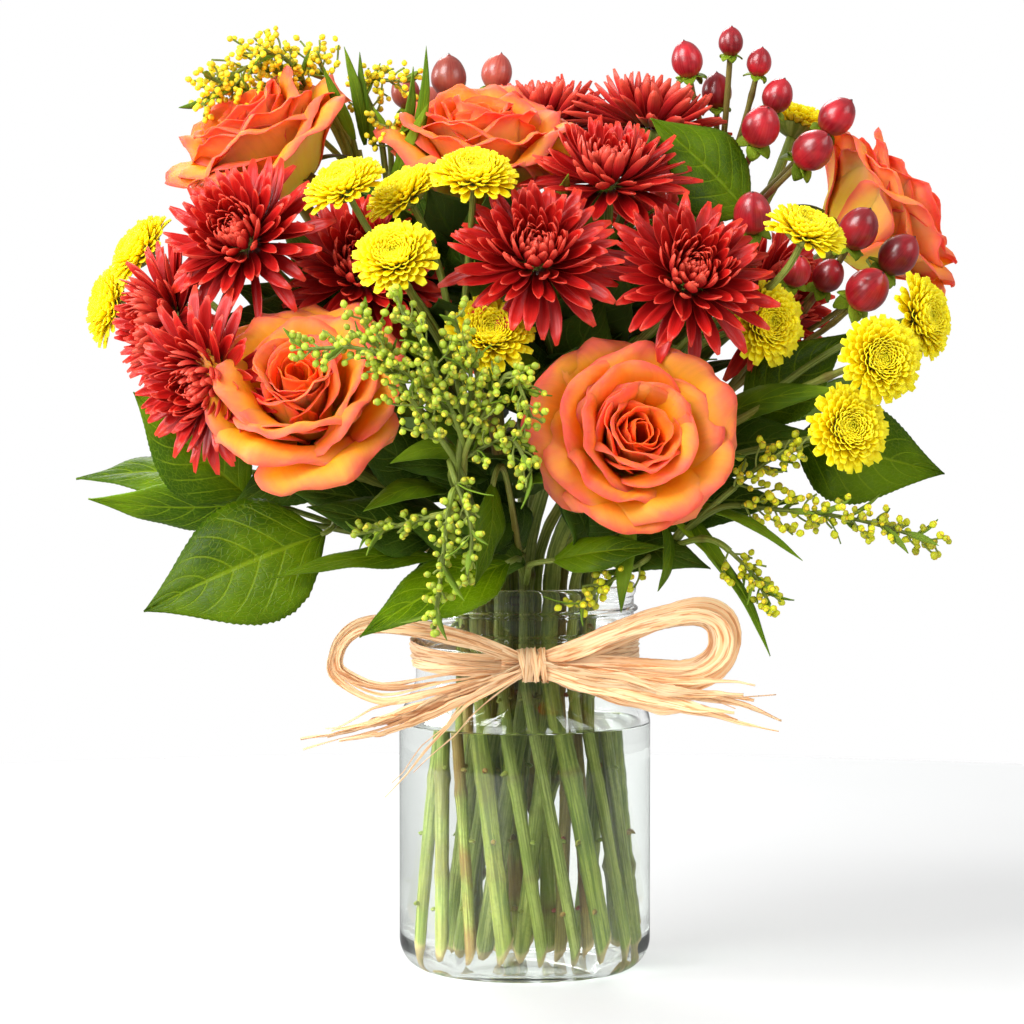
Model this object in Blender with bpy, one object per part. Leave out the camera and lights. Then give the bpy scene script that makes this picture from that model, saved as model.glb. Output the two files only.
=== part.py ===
"""An autumn bouquet of roses, chrysanthemums, berries and goldenrod in a glass jar with a raffia bow.

Every named object is one closed solid. Lengths are metres and +Z is up. The origin is the
centre of the jar's foot, and the bouquet's front looks along -Y.
"""

import math
from dataclasses import dataclass

import bmesh
import bpy
from mathutils import Matrix, Vector

MM = 0.001
GAP = 0.35 * MM

# The jar: a straight body, a round shoulder and a wide neck with two thread ridges.
JAR_HEIGHT = 152 * MM
BODY_RADIUS = 49 * MM
GLASS_WALL = 3.2 * MM
JAR_FLOOR = 5 * MM
HEEL_RADIUS = 13 * MM
SHOULDER_STEP = 6.5 * MM
NECK_RADIUS = BODY_RADIUS - SHOULDER_STEP
NECK_HEIGHT = 36 * MM
SHOULDER_HEIGHT = 19 * MM
THREAD_RIDGE = 1.3 * MM
THREAD_TO_RIM = (10 * MM, 19 * MM)
SHOULDER_SHARES = (0.3, 0.55, 0.8, 1)
WATER_BELOW_SHOULDER = 0.5 * MM
JAR_SEGMENTS = 32
KNOT_SEGMENTS = 12

# The raffia: a band round the neck, a bow in front of it and a knot round the bow's waist.
BAND_HEIGHT = 9 * MM
BAND_THICKNESS = 1.6 * MM
BAND_ABOVE_SHOULDER = 3.5 * MM
KNOT_LENGTH = 12 * MM
KNOT_RADII = (4.2 * MM, 6.6 * MM)
KNOT_WALL = 1.2 * MM
STRAND_RADIUS = 1.7 * MM
BOW_SIDE_STEP = 3 * MM
WAIST_REACH = 6 * MM

# Stem radii by kind.
ROSE_STEM = 3.5 * MM
MUM_STEM = 3.1 * MM
BUTTON_STEM = 2.4 * MM
BERRY_STEM = 2.1 * MM
GOLDENROD_STEM = 2.2 * MM
SALAL_STEM = 2.1 * MM
BRANCH_SHARE = 0.62
TIP_SHARE = 0.86
STEM_SIDES = 6
STEM_STEPS = 4
BRANCH_SIDES = 5
BRANCH_STEPS = 3
FIRST_BRANCH = 3.5 * MM
NEXT_BRANCH = 6 * MM
GRAFT_DEPTH = 2.2 * MM
FOOT_CLEARANCE = 1.5 * MM
MOUTH_FLARE = 1.06
CURVE_PULL = 0.38

# Flower head sizes: radius, then height from the stem's end to the top.
ROSE_RADIUS, ROSE_HEIGHT = 33 * MM, 44 * MM
MUM_RADIUS, MUM_HEIGHT = 32 * MM, 25 * MM
BUTTON_RADIUS, BUTTON_HEIGHT = 15.5 * MM, 12 * MM
HEAD_SEGMENTS = 10

# A leaf's half-width along its length, as shares of its own; its thickness, and how far it bows.
LEAF_OUTLINE = ((0, 0.1), (0.12, 0.62), (0.32, 1), (0.55, 0.9), (0.78, 0.52), (1, 0.06))
LEAF_HALF_THICKNESS = 0.8 * MM
LEAF_BOW = 0.06


@dataclass(frozen=True)
class Ring:
    """A ring of stems: its shares of the room in the neck and at the foot, and its twist between them."""

    neck_share: float
    foot_share: float
    twist_deg: float


OUTER = Ring(0.62, 0.92, 34)
MIDDLE = Ring(0.365, 0.60, -42)
CENTRE = Ring(0.14, 0.24, 70)


@dataclass(frozen=True)
class Head:
    """One flower head: its middle, in mm from the mouth's centre, and the way that it looks."""

    name: str
    middle: tuple
    faces: tuple


@dataclass(frozen=True)
class Plume:
    """A branch that swells into a tapering plume of buds: points and the radii at its two ends, in mm."""

    points: tuple
    radii: tuple


@dataclass(frozen=True)
class Leaf:
    """A leaf blade from base to tip, in mm, with its width and the way its upper side looks."""

    base: tuple
    tip: tuple
    width: float
    looks: tuple


@dataclass(frozen=True)
class Berry:
    """A berry: its middle and radius, in mm."""

    middle: tuple
    radius: float


@dataclass(frozen=True)
class Stem:
    """A stem: its slot in the jar's neck, the fork it runs to, in mm, and what grows from that fork."""

    name: str
    radius: float
    ring: Ring
    clock_deg: float
    fork: tuple = ()
    heads: tuple = ()
    plumes: tuple = ()
    leaves: tuple = ()
    berries: tuple = ()


@dataclass(frozen=True)
class Kind:
    """What the heads of one flower share."""

    radius: float
    height: float
    profile: tuple


# Profiles are shares of the radius and of the height, from the stem's end to the top.
ROSE = Kind(ROSE_RADIUS, ROSE_HEIGHT, ((0.14, 0), (0.6, 0.18), (0.94, 0.5), (1, 0.75), (0.8, 0.96), (0, 1)))
MUM = Kind(MUM_RADIUS, MUM_HEIGHT, ((0.14, 0), (0.6, 0.16), (1, 0.5), (0.85, 0.78), (0.42, 0.98), (0, 1)))
BUTTON = Kind(BUTTON_RADIUS, BUTTON_HEIGHT, ((0.22, 0), (0.62, 0.18), (1, 0.5), (0.78, 0.86), (0, 1)))

ROSES = (
    Stem("rose_stem_front_left", ROSE_STEM, OUTER, 225, heads=(
            Head("rose_front_left", (-83, -80, 76), (-0.15, -0.75, 0.62)),
        ),
    ),
    Stem("rose_stem_front_right", ROSE_STEM, OUTER, 293, heads=(
            Head("rose_front_right", (40, -90, 60), (0.2, -0.93, 0.3)),
        ),
    ),
    Stem("rose_stem_back_left", ROSE_STEM, MIDDLE, 176, heads=(
            Head("rose_back_left", (-101, 5, 170), (-0.5, -0.25, 0.82)),
        ),
    ),
    Stem("rose_stem_top", ROSE_STEM, CENTRE, 200, heads=(
            Head("rose_top", (-17, -8, 168), (0.05, -0.3, 0.95)),
        ),
    ),
    Stem("rose_stem_right", ROSE_STEM, OUTER, 8, heads=(
            Head("rose_right", (139, 22, 141), (0.8, 0.1, 0.55)),
        ),
    ),
    Stem("rose_stem_rear", ROSE_STEM, OUTER, 90, heads=(
            Head("rose_rear", (-5, 88, 103), (-0.1, 0.85, 0.5)),
        ),
    ),
)

MUMS = (
    Stem(
        "mum_spray_front", MUM_STEM, MIDDLE, 272, fork=(14, -38, 70),
        heads=(
            Head("mum_front_left", (4, -88, 130), (0.0, -0.82, 0.57)),
            Head("mum_front_right", (62, -82, 122), (0.2, -0.85, 0.5)),
            Head("mum_upper_middle", (32, -44, 160), (0.0, -0.45, 0.9)),
        ),
    ),
    Stem(
        "mum_spray_left", MUM_STEM, MIDDLE, 208, fork=(-60, -22, 83),
        heads=(
            Head("mum_left_upper", (-108, -58, 136), (-0.4, -0.8, 0.45)),
            Head("mum_left_outer", (-139, -30, 102), (-0.9, -0.4, 0.0)),
            Head("mum_left_lower", (-121, -74, 80), (-0.6, -0.75, -0.15)),
            Head("mum_left_inner", (-62, -42, 124), (-0.05, -0.85, 0.5)),
        ),
    ),
    Stem(
        "mum_spray_top", MUM_STEM, CENTRE, 80, fork=(20, 14, 103),
        heads=(
            Head("mum_top_middle", (6, 34, 181), (-0.1, 0.0, 1.0)),
            Head("mum_top_right", (50, 12, 180), (0.25, 0.25, 0.92)),
            Head("mum_right", (97, -14, 112), (0.75, -0.6, 0.2)),
            Head("mum_rear", (58, 66, 130), (0.4, 0.75, 0.5)),
        ),
    ),
)

BUTTONS = (
    Stem(
        "button_spray_front", BUTTON_STEM, MIDDLE, 240, fork=(-26, -52, 88),
        heads=(
            Head("button_upper_left", (-68, -76, 155), (-0.4, -0.4, 0.82)),
            Head("button_middle_left", (-48, -106, 129), (-0.2, -0.75, 0.62)),
            Head("button_upper_middle", (-19, -82, 159), (0.05, -0.5, 0.87)),
            Head("button_tucked", (-46, -56, 152), (-0.5, -0.3, 0.8)),
            Head("button_under", (-13, -92, 100), (0.1, -0.8, 0.55)),
        ),
    ),
    Stem(
        "button_spray_left", BUTTON_STEM, OUTER, 178, fork=(-96, 6, 84),
        heads=(
            Head("button_left_upper", (-150, 4, 130), (-0.75, -0.3, 0.58)),
            Head("button_left_lower", (-163, 14, 108), (-0.9, -0.3, 0.25)),
        ),
    ),
    Stem(
        "button_spray_right", BUTTON_STEM, MIDDLE, 308, fork=(64, -50, 56),
        heads=(
            Head("button_right_middle", (133, -80, 90), (0.3, -0.93, 0.12)),
            Head("button_right_outer", (151, -54, 105), (0.8, -0.55, 0.2)),
            Head("button_right_lower", (121, -80, 64), (0.35, -0.9, 0.2)),
        ),
    ),
    Stem(
        "button_spray_upper_right", BUTTON_STEM, CENTRE, 320, fork=(58, -36, 93),
        heads=(
            Head("button_upper_right", (105, -80, 138), (0.35, -0.35, 0.87)),
            Head("button_right_tucked", (91, -66, 103), (0.5, -0.8, 0.1)),
        ),
    ),
    Stem(
        "button_spray_back", BUTTON_STEM, OUTER, 32,
        heads=(Head("button_back", (107, 32, 179), (0.3, 0.2, 0.93)),),
    ),
)

BERRIES = (
    Stem(
        "berry_sprig_top", BERRY_STEM, MIDDLE, 20, fork=(76, 22, 150),
        berries=(
            Berry((63, 6, 203), 6.6), Berry((80, 5, 210), 5.2), Berry((91, 4, 202), 5.2),
            Berry((98, 0, 189), 6.4), Berry((91, -13, 177), 8), Berry((121, 0, 181), 7.4),
            Berry((111, -12, 168), 8.2), Berry((75, 16, 191), 6.4),
        ),
    ),
    Stem(
        "berry_sprig_right", BERRY_STEM, MIDDLE, 344, fork=(88, 0, 90),
        berries=(
            Berry((86, -50, 144), 7.8), Berry((127, -40, 138), 8), Berry((143, -30, 128), 8),
            Berry((130, -46, 115), 8.6), Berry((103, -44, 122), 6.2), Berry((116, -32, 120), 6.4),
        ),
    ),
    Stem(
        "berry_sprig_back", BERRY_STEM, MIDDLE, 104, fork=(-30, 44, 138),
        berries=(
            Berry((-30, 38, 197), 7.6), Berry((-11, 46, 199), 6.6), Berry((-47, 34, 191), 6.2),
            Berry((-38, 58, 186), 7), Berry((-18, 66, 179), 7.2),
        ),
    ),
)

GOLDENROD = (
    Stem(
        "goldenrod_left", GOLDENROD_STEM, OUTER, 150, fork=(-66, 30, 168),
        plumes=(
            Plume(((-84, 22, 191), (-106, 14, 201), (-126, 8, 186)), (7, 3)),
            Plume(((-76, 26, 194), (-82, 24, 205)), (5, 3.5)),
            Plume(((-92, 34, 178), (-106, 40, 180)), (6, 3)),
        ),
    ),
    Stem(
        "goldenrod_middle", GOLDENROD_STEM, MIDDLE, 140, fork=(-54, 14, 156),
        plumes=(
            Plume(((-58, 12, 181), (-62, 10, 194), (-46, 10, 195)), (6, 4)),
            Plume(((-52, -6, 168), (-53, -13, 177)), (5, 3.5)),
        ),
    ),
    Stem(
        "goldenrod_front", GOLDENROD_STEM, OUTER, 248, fork=(-24, -86, 44),
        plumes=(
            Plume(((-30, -118, 74), (-56, -126, 94), (-82, -122, 95)), (6, 3.5)),
            Plume(((-26, -118, 70), (-38, -128, 98), (-46, -126, 110)), (6, 4)),
            Plume(((-18, -116, 66), (-6, -122, 86), (2, -122, 70)), (5, 3.5)),
            Plume(((-28, -112, 38), (-31, -104, 13), (-34, -92, -10)), (5, 3)),
            Plume(((-34, -94, 32), (-48, -90, 28), (-62, -88, 25)), (4, 2.6)),
        ),
    ),
    Stem(
        "goldenrod_right", GOLDENROD_STEM, OUTER, 318, fork=(60, -52, 24),
        plumes=(
            Plume(((80, -64, 34), (122, -60, 29), (156, -44, 19)), (5.5, 3)),
            Plume(((78, -64, 40), (90, -66, 50), (104, -66, 56)), (4.5, 3)),
            Plume(((76, -68, 18), (86, -70, 8), (92, -72, -3)), (4.5, 3)),
            Plume(((44, -60, 12), (30, -62, 4), (20, -64, -4)), (4, 2.6)),
        ),
    ),
)

SALAL = (
    Stem(
        "salal_left", SALAL_STEM, OUTER, 202, fork=(-74, -30, 30),
        leaves=(
            Leaf((-76, -58, 23), (-144, -66, -6), 43, (-0.1, -0.8, 0.6)),
            Leaf((-110, -14, 44), (-174, -10, 41), 26, (0, -0.5, 0.85)),
            Leaf((-104, -26, 32), (-168, -26, 34), 24, (0.1, -0.75, -0.6)),
            Leaf((-106, -38, 36), (-149, -46, 76), 36, (-0.5, -0.7, 0.5)),
        ),
    ),
    Stem(
        "salal_front", SALAL_STEM, OUTER, 270, fork=(-2, -42, 14),
        leaves=(
            Leaf((-6, -56, 12), (-62, -84, -14), 30, (-0.2, -0.75, 0.6)),
            Leaf((-32, -58, 14), (-96, -74, 7), 11, (0, -0.7, 0.7)),
            Leaf((-12, -88, 44), (-19, -99, 6), 16, (0.8, -0.6, 0.1)),
            Leaf((10, -62, 13), (52, -74, 19), 16, (0, -0.8, 0.6)),
        ),
    ),
    Stem(
        "salal_right", SALAL_STEM, OUTER, 343, fork=(70, -14, 44),
        leaves=(
            Leaf((104, -18, 56), (161, -30, 44), 38, (0.1, -0.85, 0.5)),
            Leaf((84, -28, 66), (124, -32, 98), 34, (-0.4, -0.8, 0.4)),
            Leaf((90, 20, 62), (150, 46, 74), 38, (0.1, 0.5, 0.85)),
        ),
    ),
    Stem(
        "salal_back", SALAL_STEM, OUTER, 60, fork=(36, 24, 92),
        leaves=(
            Leaf((86, -18, 144), (48, -32, 180), 30, (0.1, -0.7, 0.7)),
            Leaf((44, 70, 70), (70, 124, 62), 40, (0.1, 0.7, 0.7)),
            Leaf((-10, 62, 54), (-54, 116, 44), 42, (-0.1, 0.7, 0.7)),
        ),
    ),
)

# The bow's strands leave its waist: x from the waist, distance in front of the knot's middle, and height.
BOW_LOOPS = (
    (
        (9, 0, 2), (28, 5, 10), (47, 8, 18), (62, 8, 21), (71, 6, 17), (73, 4, 8), (68, 3, 0),
        (56, 2, -4), (30, 1, -2), (9, 0, -2),
    ),
    (
        (-9, 0, 2), (-30, 4, 12), (-60, 6, 16), (-72, 5, 11), (-76, 4, 1), (-71, 3, -5),
        (-56, 2, -10), (-32, 1, -6), (-9, 0, -2),
    ),
)
BOW_TAILS = (
    ((9, 1, -3), (28, 3, -9), (66, 6, -15), (94, 7, -22)),
    ((9, 2, 1), (44, 6, -8), (68, 8, -9), (92, 10, -11)),
    ((-9, 1, -3), (-30, 3, -12), (-66, 6, -24), (-88, 7, -29)),
    ((-9, 2, -4), (-24, 4, -16), (-40, 6, -31), (-56, 7, -50)),
)

COLOURS = {
    "glass": (0.88, 0.95, 0.93, 1, 0.02),
    "water": (0.8, 0.9, 0.85, 1, 0.02),
    "raffia": (0.85, 0.58, 0.32, 1, 0.6),
    "rose": (0.95, 0.32, 0.06, 1, 0.45),
    "mum": (0.36, 0.01, 0.02, 1, 0.4),
    "button": (0.95, 0.72, 0.02, 1, 0.5),
    "stem": (0.22, 0.4, 0.06, 1, 0.45),
    "berry": (0.5, 0.03, 0.06, 1, 0.2),
    "goldenrod": (0.62, 0.66, 0.06, 1, 0.5),
    "leaf": (0.08, 0.26, 0.03, 1, 0.35),
}


def mm(point):
    """A vector typed in mm, as metres."""
    return Vector(point) * MM


def above_mouth(point):
    """A point typed in mm from the centre of the jar's mouth, in the frame of the foot."""
    return mm(point) + Vector((0, 0, JAR_HEIGHT))


# --- materials and objects ---------------------------------------------------------------


def make_material(name):
    """A Principled material with the colour and roughness of that finish."""
    red, green, blue, alpha, roughness = COLOURS[name]
    material = bpy.data.materials.new(name)
    material.use_nodes = True
    shader = material.node_tree.nodes["Principled BSDF"]
    shader.inputs["Base Color"].default_value = (red, green, blue, alpha)
    shader.inputs["Roughness"].default_value = roughness
    shader.inputs["Metallic"].default_value = 0
    if name in ("glass", "water"):
        shader.inputs["Transmission Weight"].default_value = 1
    return material


def add_object(name, mesh_data, finish=None, helper=False, place=None):
    """Writes a bmesh into a named object, put in its place. A helper only cuts or joins."""
    bmesh.ops.recalc_face_normals(mesh_data, faces=mesh_data.faces)
    mesh = bpy.data.meshes.new(name)
    mesh_data.to_mesh(mesh)
    mesh_data.free()
    mesh.shade_smooth()
    obj = bpy.data.objects.new(name, mesh)
    bpy.context.scene.collection.objects.link(obj)
    if place:
        obj.matrix_world = place
    if finish:
        mesh.materials.append(bpy.data.materials.get(finish) or make_material(finish))
    if helper:
        obj.hide_render = True
        obj.display_type = "WIRE"
    return obj


def add_boolean(obj, other, operation):
    """Joins or cuts obj with the helper other."""
    modifier = obj.modifiers.new(operation.title() + " " + other.name, "BOOLEAN")
    modifier.operation = operation
    modifier.object = other
    modifier.solver = "EXACT"


# --- shapes ------------------------------------------------------------------------------


def turned(profile, segments):
    """A bmesh made by turning (radius, height) points round Z. Points on the axis close it."""
    shape = bmesh.new()
    points = [shape.verts.new((radius, 0, height)) for radius, height in profile]
    edges = [shape.edges.new(pair) for pair in zip(points, points[1:])]
    bmesh.ops.spin(
        shape, geom=points + edges, cent=(0, 0, 0), axis=(0, 0, 1), angle=math.tau, steps=segments,
        use_merge=True,
    )
    bmesh.ops.remove_doubles(shape, verts=shape.verts, dist=0.01 * MM)
    return shape


def arc(middle, radius, start_deg, end_deg, steps):
    """Points (radius, height) on an arc about middle."""
    turns = [math.radians(start_deg + (end_deg - start_deg) * i / steps) for i in range(steps + 1)]
    return [(middle[0] + radius * math.cos(a), middle[1] + radius * math.sin(a)) for a in turns]


def smooth_path(points, steps):
    """Points on the Catmull-Rom curve through points, with steps to each span."""
    ends = [points[0] * 2 - points[1], *points, points[-1] * 2 - points[-2]]
    path = []
    for a, b, c, d in zip(ends, ends[1:], ends[2:], ends[3:]):
        for i in range(steps):
            t = i / steps
            bend = (2 * a - 5 * b + 4 * c - d) * t**2 + (3 * b - a - 3 * c + d) * t**3
            path.append(0.5 * (2 * b + (c - a) * t + bend))
    return [*path, points[-1]]


def bezier(a, b, c, d, steps):
    """Points on a cubic from a to d, pulled towards b and c, without a itself."""
    turns = [(i + 1) / steps for i in range(steps)]
    return [(1 - t) ** 3 * a + 3 * (1 - t) ** 2 * t * b + 3 * (1 - t) * t**2 * c + t**3 * d for t in turns]


def loft(path, sides, section, hint=Vector((0.13, 0.31, 0.94))):
    """A closed bmesh along path. section(i) gives the two half-widths of its oval at point i.

    The first half-width lies along hint as nearly as it can, and the second across it.
    """
    shape = bmesh.new()
    rings = []
    across = None
    for i, point in enumerate(path):
        along = (path[min(i + 1, len(path) - 1)] - path[max(i - 1, 0)]).normalized()
        wanted = hint if across is None else across
        across = (wanted - along * wanted.dot(along)).normalized()
        beside = along.cross(across)
        first, second = section(i)
        turns = [math.tau * k / sides for k in range(sides)]
        oval = [across * first * math.cos(a) + beside * second * math.sin(a) for a in turns]
        rings.append([shape.verts.new(point + spoke) for spoke in oval])
    for low, high in zip(rings, rings[1:]):
        for k in range(sides):
            shape.faces.new((low[k - 1], low[k], high[k], high[k - 1]))
    shape.faces.new(rings[0][::-1])
    shape.faces.new(rings[-1])
    return shape


def tube(path, radius, end_radius=None, sides=STEM_SIDES):
    """A round tube along path that tapers evenly to end_radius."""
    last = radius if end_radius is None else end_radius
    spans = len(path) - 1
    return loft(path, sides, lambda i: [radius + (last - radius) * i / spans] * 2)


def head_shape(kind, grow=0.0):
    """The closed outer shape of a flower head about its middle, facing +Z, grown all over by grow."""
    radius, height = kind.radius + grow, kind.height + 2 * grow
    profile = [(share * radius, (rise - 0.5) * height) for share, rise in ((0, 0), *kind.profile)]
    return turned(profile, HEAD_SEGMENTS)


def head_place(head):
    """Where the head's middle is, turned the way that the head looks."""
    turn = Vector(head.faces).normalized().to_track_quat("Z", "Y").to_matrix().to_4x4()
    return Matrix.Translation(above_mouth(head.middle)) @ turn


def leaf_shape(leaf, grow=0.0):
    """A thin blade with a pointed tip: it widens to a third of its length and bows a little."""
    base, tip = above_mouth(leaf.base), above_mouth(leaf.tip)
    along = (tip - base).normalized()
    base, tip = base - along * grow, tip + along * 2 * grow
    up = Vector(leaf.looks).normalized()
    bow = LEAF_BOW * (tip - base).length
    path = [base.lerp(tip, t) + up * bow * math.sin(math.pi * t) for t, _ in LEAF_OUTLINE]
    half = leaf.width * MM / 2
    thick = LEAF_HALF_THICKNESS + 2 * grow
    across = (tip - base).cross(up).normalized()
    return loft(path, 4, lambda i: (half * LEAF_OUTLINE[i][1] + 2 * grow, thick), hint=across)


def berry_shape(berry, grow=0.0):
    """A round berry."""
    shape = bmesh.new()
    bmesh.ops.create_uvsphere(shape, u_segments=7, v_segments=5, radius=berry.radius * MM + grow)
    bmesh.ops.translate(shape, vec=above_mouth(berry.middle), verts=shape.verts)
    return shape


# --- the jar and its water ---------------------------------------------------------------


def shoulder(inset):
    """Points of the shoulder's curve from the body up to the neck, moved in by inset."""
    foot = JAR_HEIGHT - NECK_HEIGHT - SHOULDER_HEIGHT
    steps = [(SHOULDER_STEP * (1 + math.cos(math.pi * t)) / 2, SHOULDER_HEIGHT * t) for t in SHOULDER_SHARES]
    return [(NECK_RADIUS - inset + out, foot + rise) for out, rise in steps]


def jar_outside():
    """The jar's outer profile from the foot's centre to the rim's outer edge."""
    shoulder_foot = JAR_HEIGHT - NECK_HEIGHT - SHOULDER_HEIGHT
    points = [(0, 0), *arc((BODY_RADIUS - HEEL_RADIUS, HEEL_RADIUS), HEEL_RADIUS, -90, 0, 5)]
    points += [(BODY_RADIUS, shoulder_foot)]
    points += shoulder(0)
    for below in sorted(THREAD_TO_RIM, reverse=True):
        ridge = JAR_HEIGHT - below
        points += [
            (NECK_RADIUS, ridge - THREAD_RIDGE),
            (NECK_RADIUS + THREAD_RIDGE, ridge),
            (NECK_RADIUS, ridge + THREAD_RIDGE),
        ]
    return points + [(NECK_RADIUS, JAR_HEIGHT - GLASS_WALL / 2)]


def jar_inside(grow=0.0):
    """The jar's inner profile from the floor's centre up to the neck, moved into the hollow by grow."""
    shoulder_foot = JAR_HEIGHT - NECK_HEIGHT - SHOULDER_HEIGHT
    wall = GLASS_WALL + grow
    inner_heel = HEEL_RADIUS - GLASS_WALL
    floor = JAR_FLOOR + grow
    corner = (BODY_RADIUS - wall - inner_heel, floor + inner_heel)
    points = [(0, floor), *arc(corner, inner_heel, -90, 0, 4)]
    points += [(BODY_RADIUS - wall, shoulder_foot)]
    return points + shoulder(wall)


def build_jar():
    """The glass: outer profile, rounded rim and inner profile turned round the axis."""
    rim = arc((NECK_RADIUS - GLASS_WALL / 2, JAR_HEIGHT - GLASS_WALL / 2), GLASS_WALL / 2, 30, 180, 4)
    add_object("glass_jar", turned([*jar_outside(), *rim, *jar_inside()[::-1]], JAR_SEGMENTS), "glass")


def water_level():
    """The height of the water's surface."""
    return JAR_HEIGHT - NECK_HEIGHT - SHOULDER_HEIGHT - WATER_BELOW_SHOULDER


def build_water(stem_cutters):
    """The water: the jar's inside up to its level, with a hole round each stem."""
    level = water_level()
    below = [point for point in jar_inside(GAP) if point[1] < level]
    profile = [*below, (BODY_RADIUS - GLASS_WALL - GAP, level), (0, level)]
    water = add_object("water", turned(profile, JAR_SEGMENTS), "water")
    for cutter in stem_cutters:
        add_boolean(water, cutter, "DIFFERENCE")


# --- the raffia --------------------------------------------------------------------------


def band_middle():
    """The height of the band's middle, and of the bow's waist."""
    return JAR_HEIGHT - NECK_HEIGHT + BAND_ABOVE_SHOULDER + BAND_HEIGHT / 2


def build_band():
    """The band: a strap round the neck, a little narrower at its edges."""
    inner, outer = NECK_RADIUS + GAP, NECK_RADIUS + GAP + BAND_THICKNESS
    middle, half = band_middle(), BAND_HEIGHT / 2
    soft = BAND_THICKNESS / 2
    profile = [
        (inner, middle - half), (outer - soft / 2, middle - half), (outer, middle - half + soft),
        (outer, middle + half - soft), (outer - soft / 2, middle + half), (inner, middle + half),
    ]
    add_object("raffia_band", turned([*profile, profile[0]], JAR_SEGMENTS), "raffia")


def knot_place():
    """The middle of the knot, in front of the band."""
    front = NECK_RADIUS + 2 * GAP + BAND_THICKNESS + KNOT_RADII[0]
    return Vector((BOW_SIDE_STEP, -front, band_middle()))


def build_knot():
    """The knot: a sleeve turned round X, oval in Y and Z, that the bow's waist passes through."""
    wall_share = 1 - KNOT_WALL / KNOT_RADII[0]
    half = KNOT_LENGTH / 2
    profile = [(1, -half), (1, half), (wall_share, half), (wall_share, -half), (1, -half)]
    sleeve = turned(profile, KNOT_SEGMENTS)
    oval = Matrix.Diagonal((1, *KNOT_RADII, 1)) @ Matrix.Rotation(math.pi / 2, 4, "Y")
    bmesh.ops.transform(sleeve, matrix=oval, verts=sleeve.verts)
    add_object("raffia_knot", sleeve, "raffia", place=Matrix.Translation(knot_place()))


def build_bow():
    """The bow: its waist in the knot, two loops and four tails, joined into one solid."""
    place = knot_place()
    hole = [radius - KNOT_WALL * radius / KNOT_RADII[0] - GAP for radius in KNOT_RADII]
    reach = Vector((KNOT_LENGTH / 2 + WAIST_REACH, 0, 0))
    waist = [place - reach, place - reach / 2, place + reach / 2, place + reach]
    bow = add_object(
        "raffia_bow", loft(waist, 8, lambda i: (hole[1], hole[0]), hint=Vector((0, 0, 1))), "raffia"
    )
    for number, route in enumerate((*BOW_LOOPS, *BOW_TAILS)):
        points = [place + mm((x, -forward, height)) for x, forward, height in route]
        strand = tube(smooth_path(points, 2), STRAND_RADIUS, sides=BRANCH_SIDES)
        strand = add_object(f"cutter_strand_{number}", strand, helper=True)
        add_boolean(bow, strand, "UNION")


# --- stems and what they carry -----------------------------------------------------------


def round_the_axis(radius, clock_deg, height):
    """The point at that distance from the jar's axis, clock angle and height."""
    turn = math.radians(clock_deg)
    return Vector((radius * math.cos(turn), radius * math.sin(turn), height))


def in_the_jar(stem):
    """The stem's points from its foot to the rim, twisting round the axis as its ring narrows."""
    neck_room = NECK_RADIUS - GLASS_WALL
    foot_room = BODY_RADIUS - HEEL_RADIUS
    ring = stem.ring
    foot_clock = stem.clock_deg + ring.twist_deg
    foot = round_the_axis(foot_room * ring.foot_share, foot_clock, JAR_FLOOR + FOOT_CLEARANCE)
    low = round_the_axis(neck_room * ring.neck_share, stem.clock_deg, JAR_HEIGHT - NECK_HEIGHT)
    top = round_the_axis(neck_room * ring.neck_share * MOUTH_FLARE, stem.clock_deg, JAR_HEIGHT)
    return [foot, foot.lerp(low, 0.5), low, top]


def back_of(kind, head):
    """The point a clearance behind the flower head's lowest face."""
    return above_mouth(head.middle) - Vector(head.faces).normalized() * (kind.height / 2 + GAP)


def reach_to(start, heading, goal, arriving, steps):
    """A smooth run from start, leaving along heading, to goal, arriving along arriving."""
    pull = (goal - start).length * CURVE_PULL
    return bezier(start, start + heading * pull, goal - arriving * pull, goal, steps)


def back_along(path, distance):
    """The point that far back from the end of the path, and the way that the path runs there."""
    for low, high in zip(path[-2::-1], path[:0:-1]):
        length = (high - low).length
        if distance <= length:
            return high.lerp(low, distance / length), (high - low).normalized()
        distance -= length
    return path[0], (path[1] - path[0]).normalized()


def main_path(kind, stem):
    """The stem's run from its foot to its fork, or to its only head."""
    lower = in_the_jar(stem)
    rise = (lower[-1] - lower[-2]).normalized()
    if stem.fork:
        fork = above_mouth(stem.fork)
        heading = (fork - lower[-1]).normalized() + rise
        return lower + reach_to(lower[-1], rise, fork, heading.normalized(), STEM_STEPS)
    head = stem.heads[0]
    faces = Vector(head.faces).normalized()
    return lower + reach_to(lower[-1], rise, back_of(kind, head), faces, STEM_STEPS)


def grafts(kind, stem):
    """For each thing that grows from the fork: where its branch ends, and the way the branch arrives."""
    ends = [(back_of(kind, head), Vector(head.faces).normalized()) for head in stem.heads]
    for berry in stem.berries:
        middle = above_mouth(berry.middle)
        ends.append((middle, (middle - above_mouth(stem.fork)).normalized()))
    starts = [(leaf.base, leaf.tip) for leaf in stem.leaves]
    starts += [plume.points[:2] for plume in stem.plumes]
    for first, second in starts:
        arriving = (above_mouth(second) - above_mouth(first)).normalized()
        ends.append((above_mouth(first) + arriving * GRAFT_DEPTH, arriving))
    return ends


def branch_paths(kind, stem, main):
    """One path for each thing that grows from the fork. They leave the main run one below the other."""
    paths = []
    for number, (goal, arriving) in enumerate(grafts(kind, stem)):
        start, along = back_along(main, FIRST_BRANCH + NEXT_BRANCH * number)
        away = ((goal - start).normalized() * 2 + along).normalized()
        paths.append([start, *reach_to(start, away, goal, arriving, BRANCH_STEPS)])
    return paths


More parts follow.
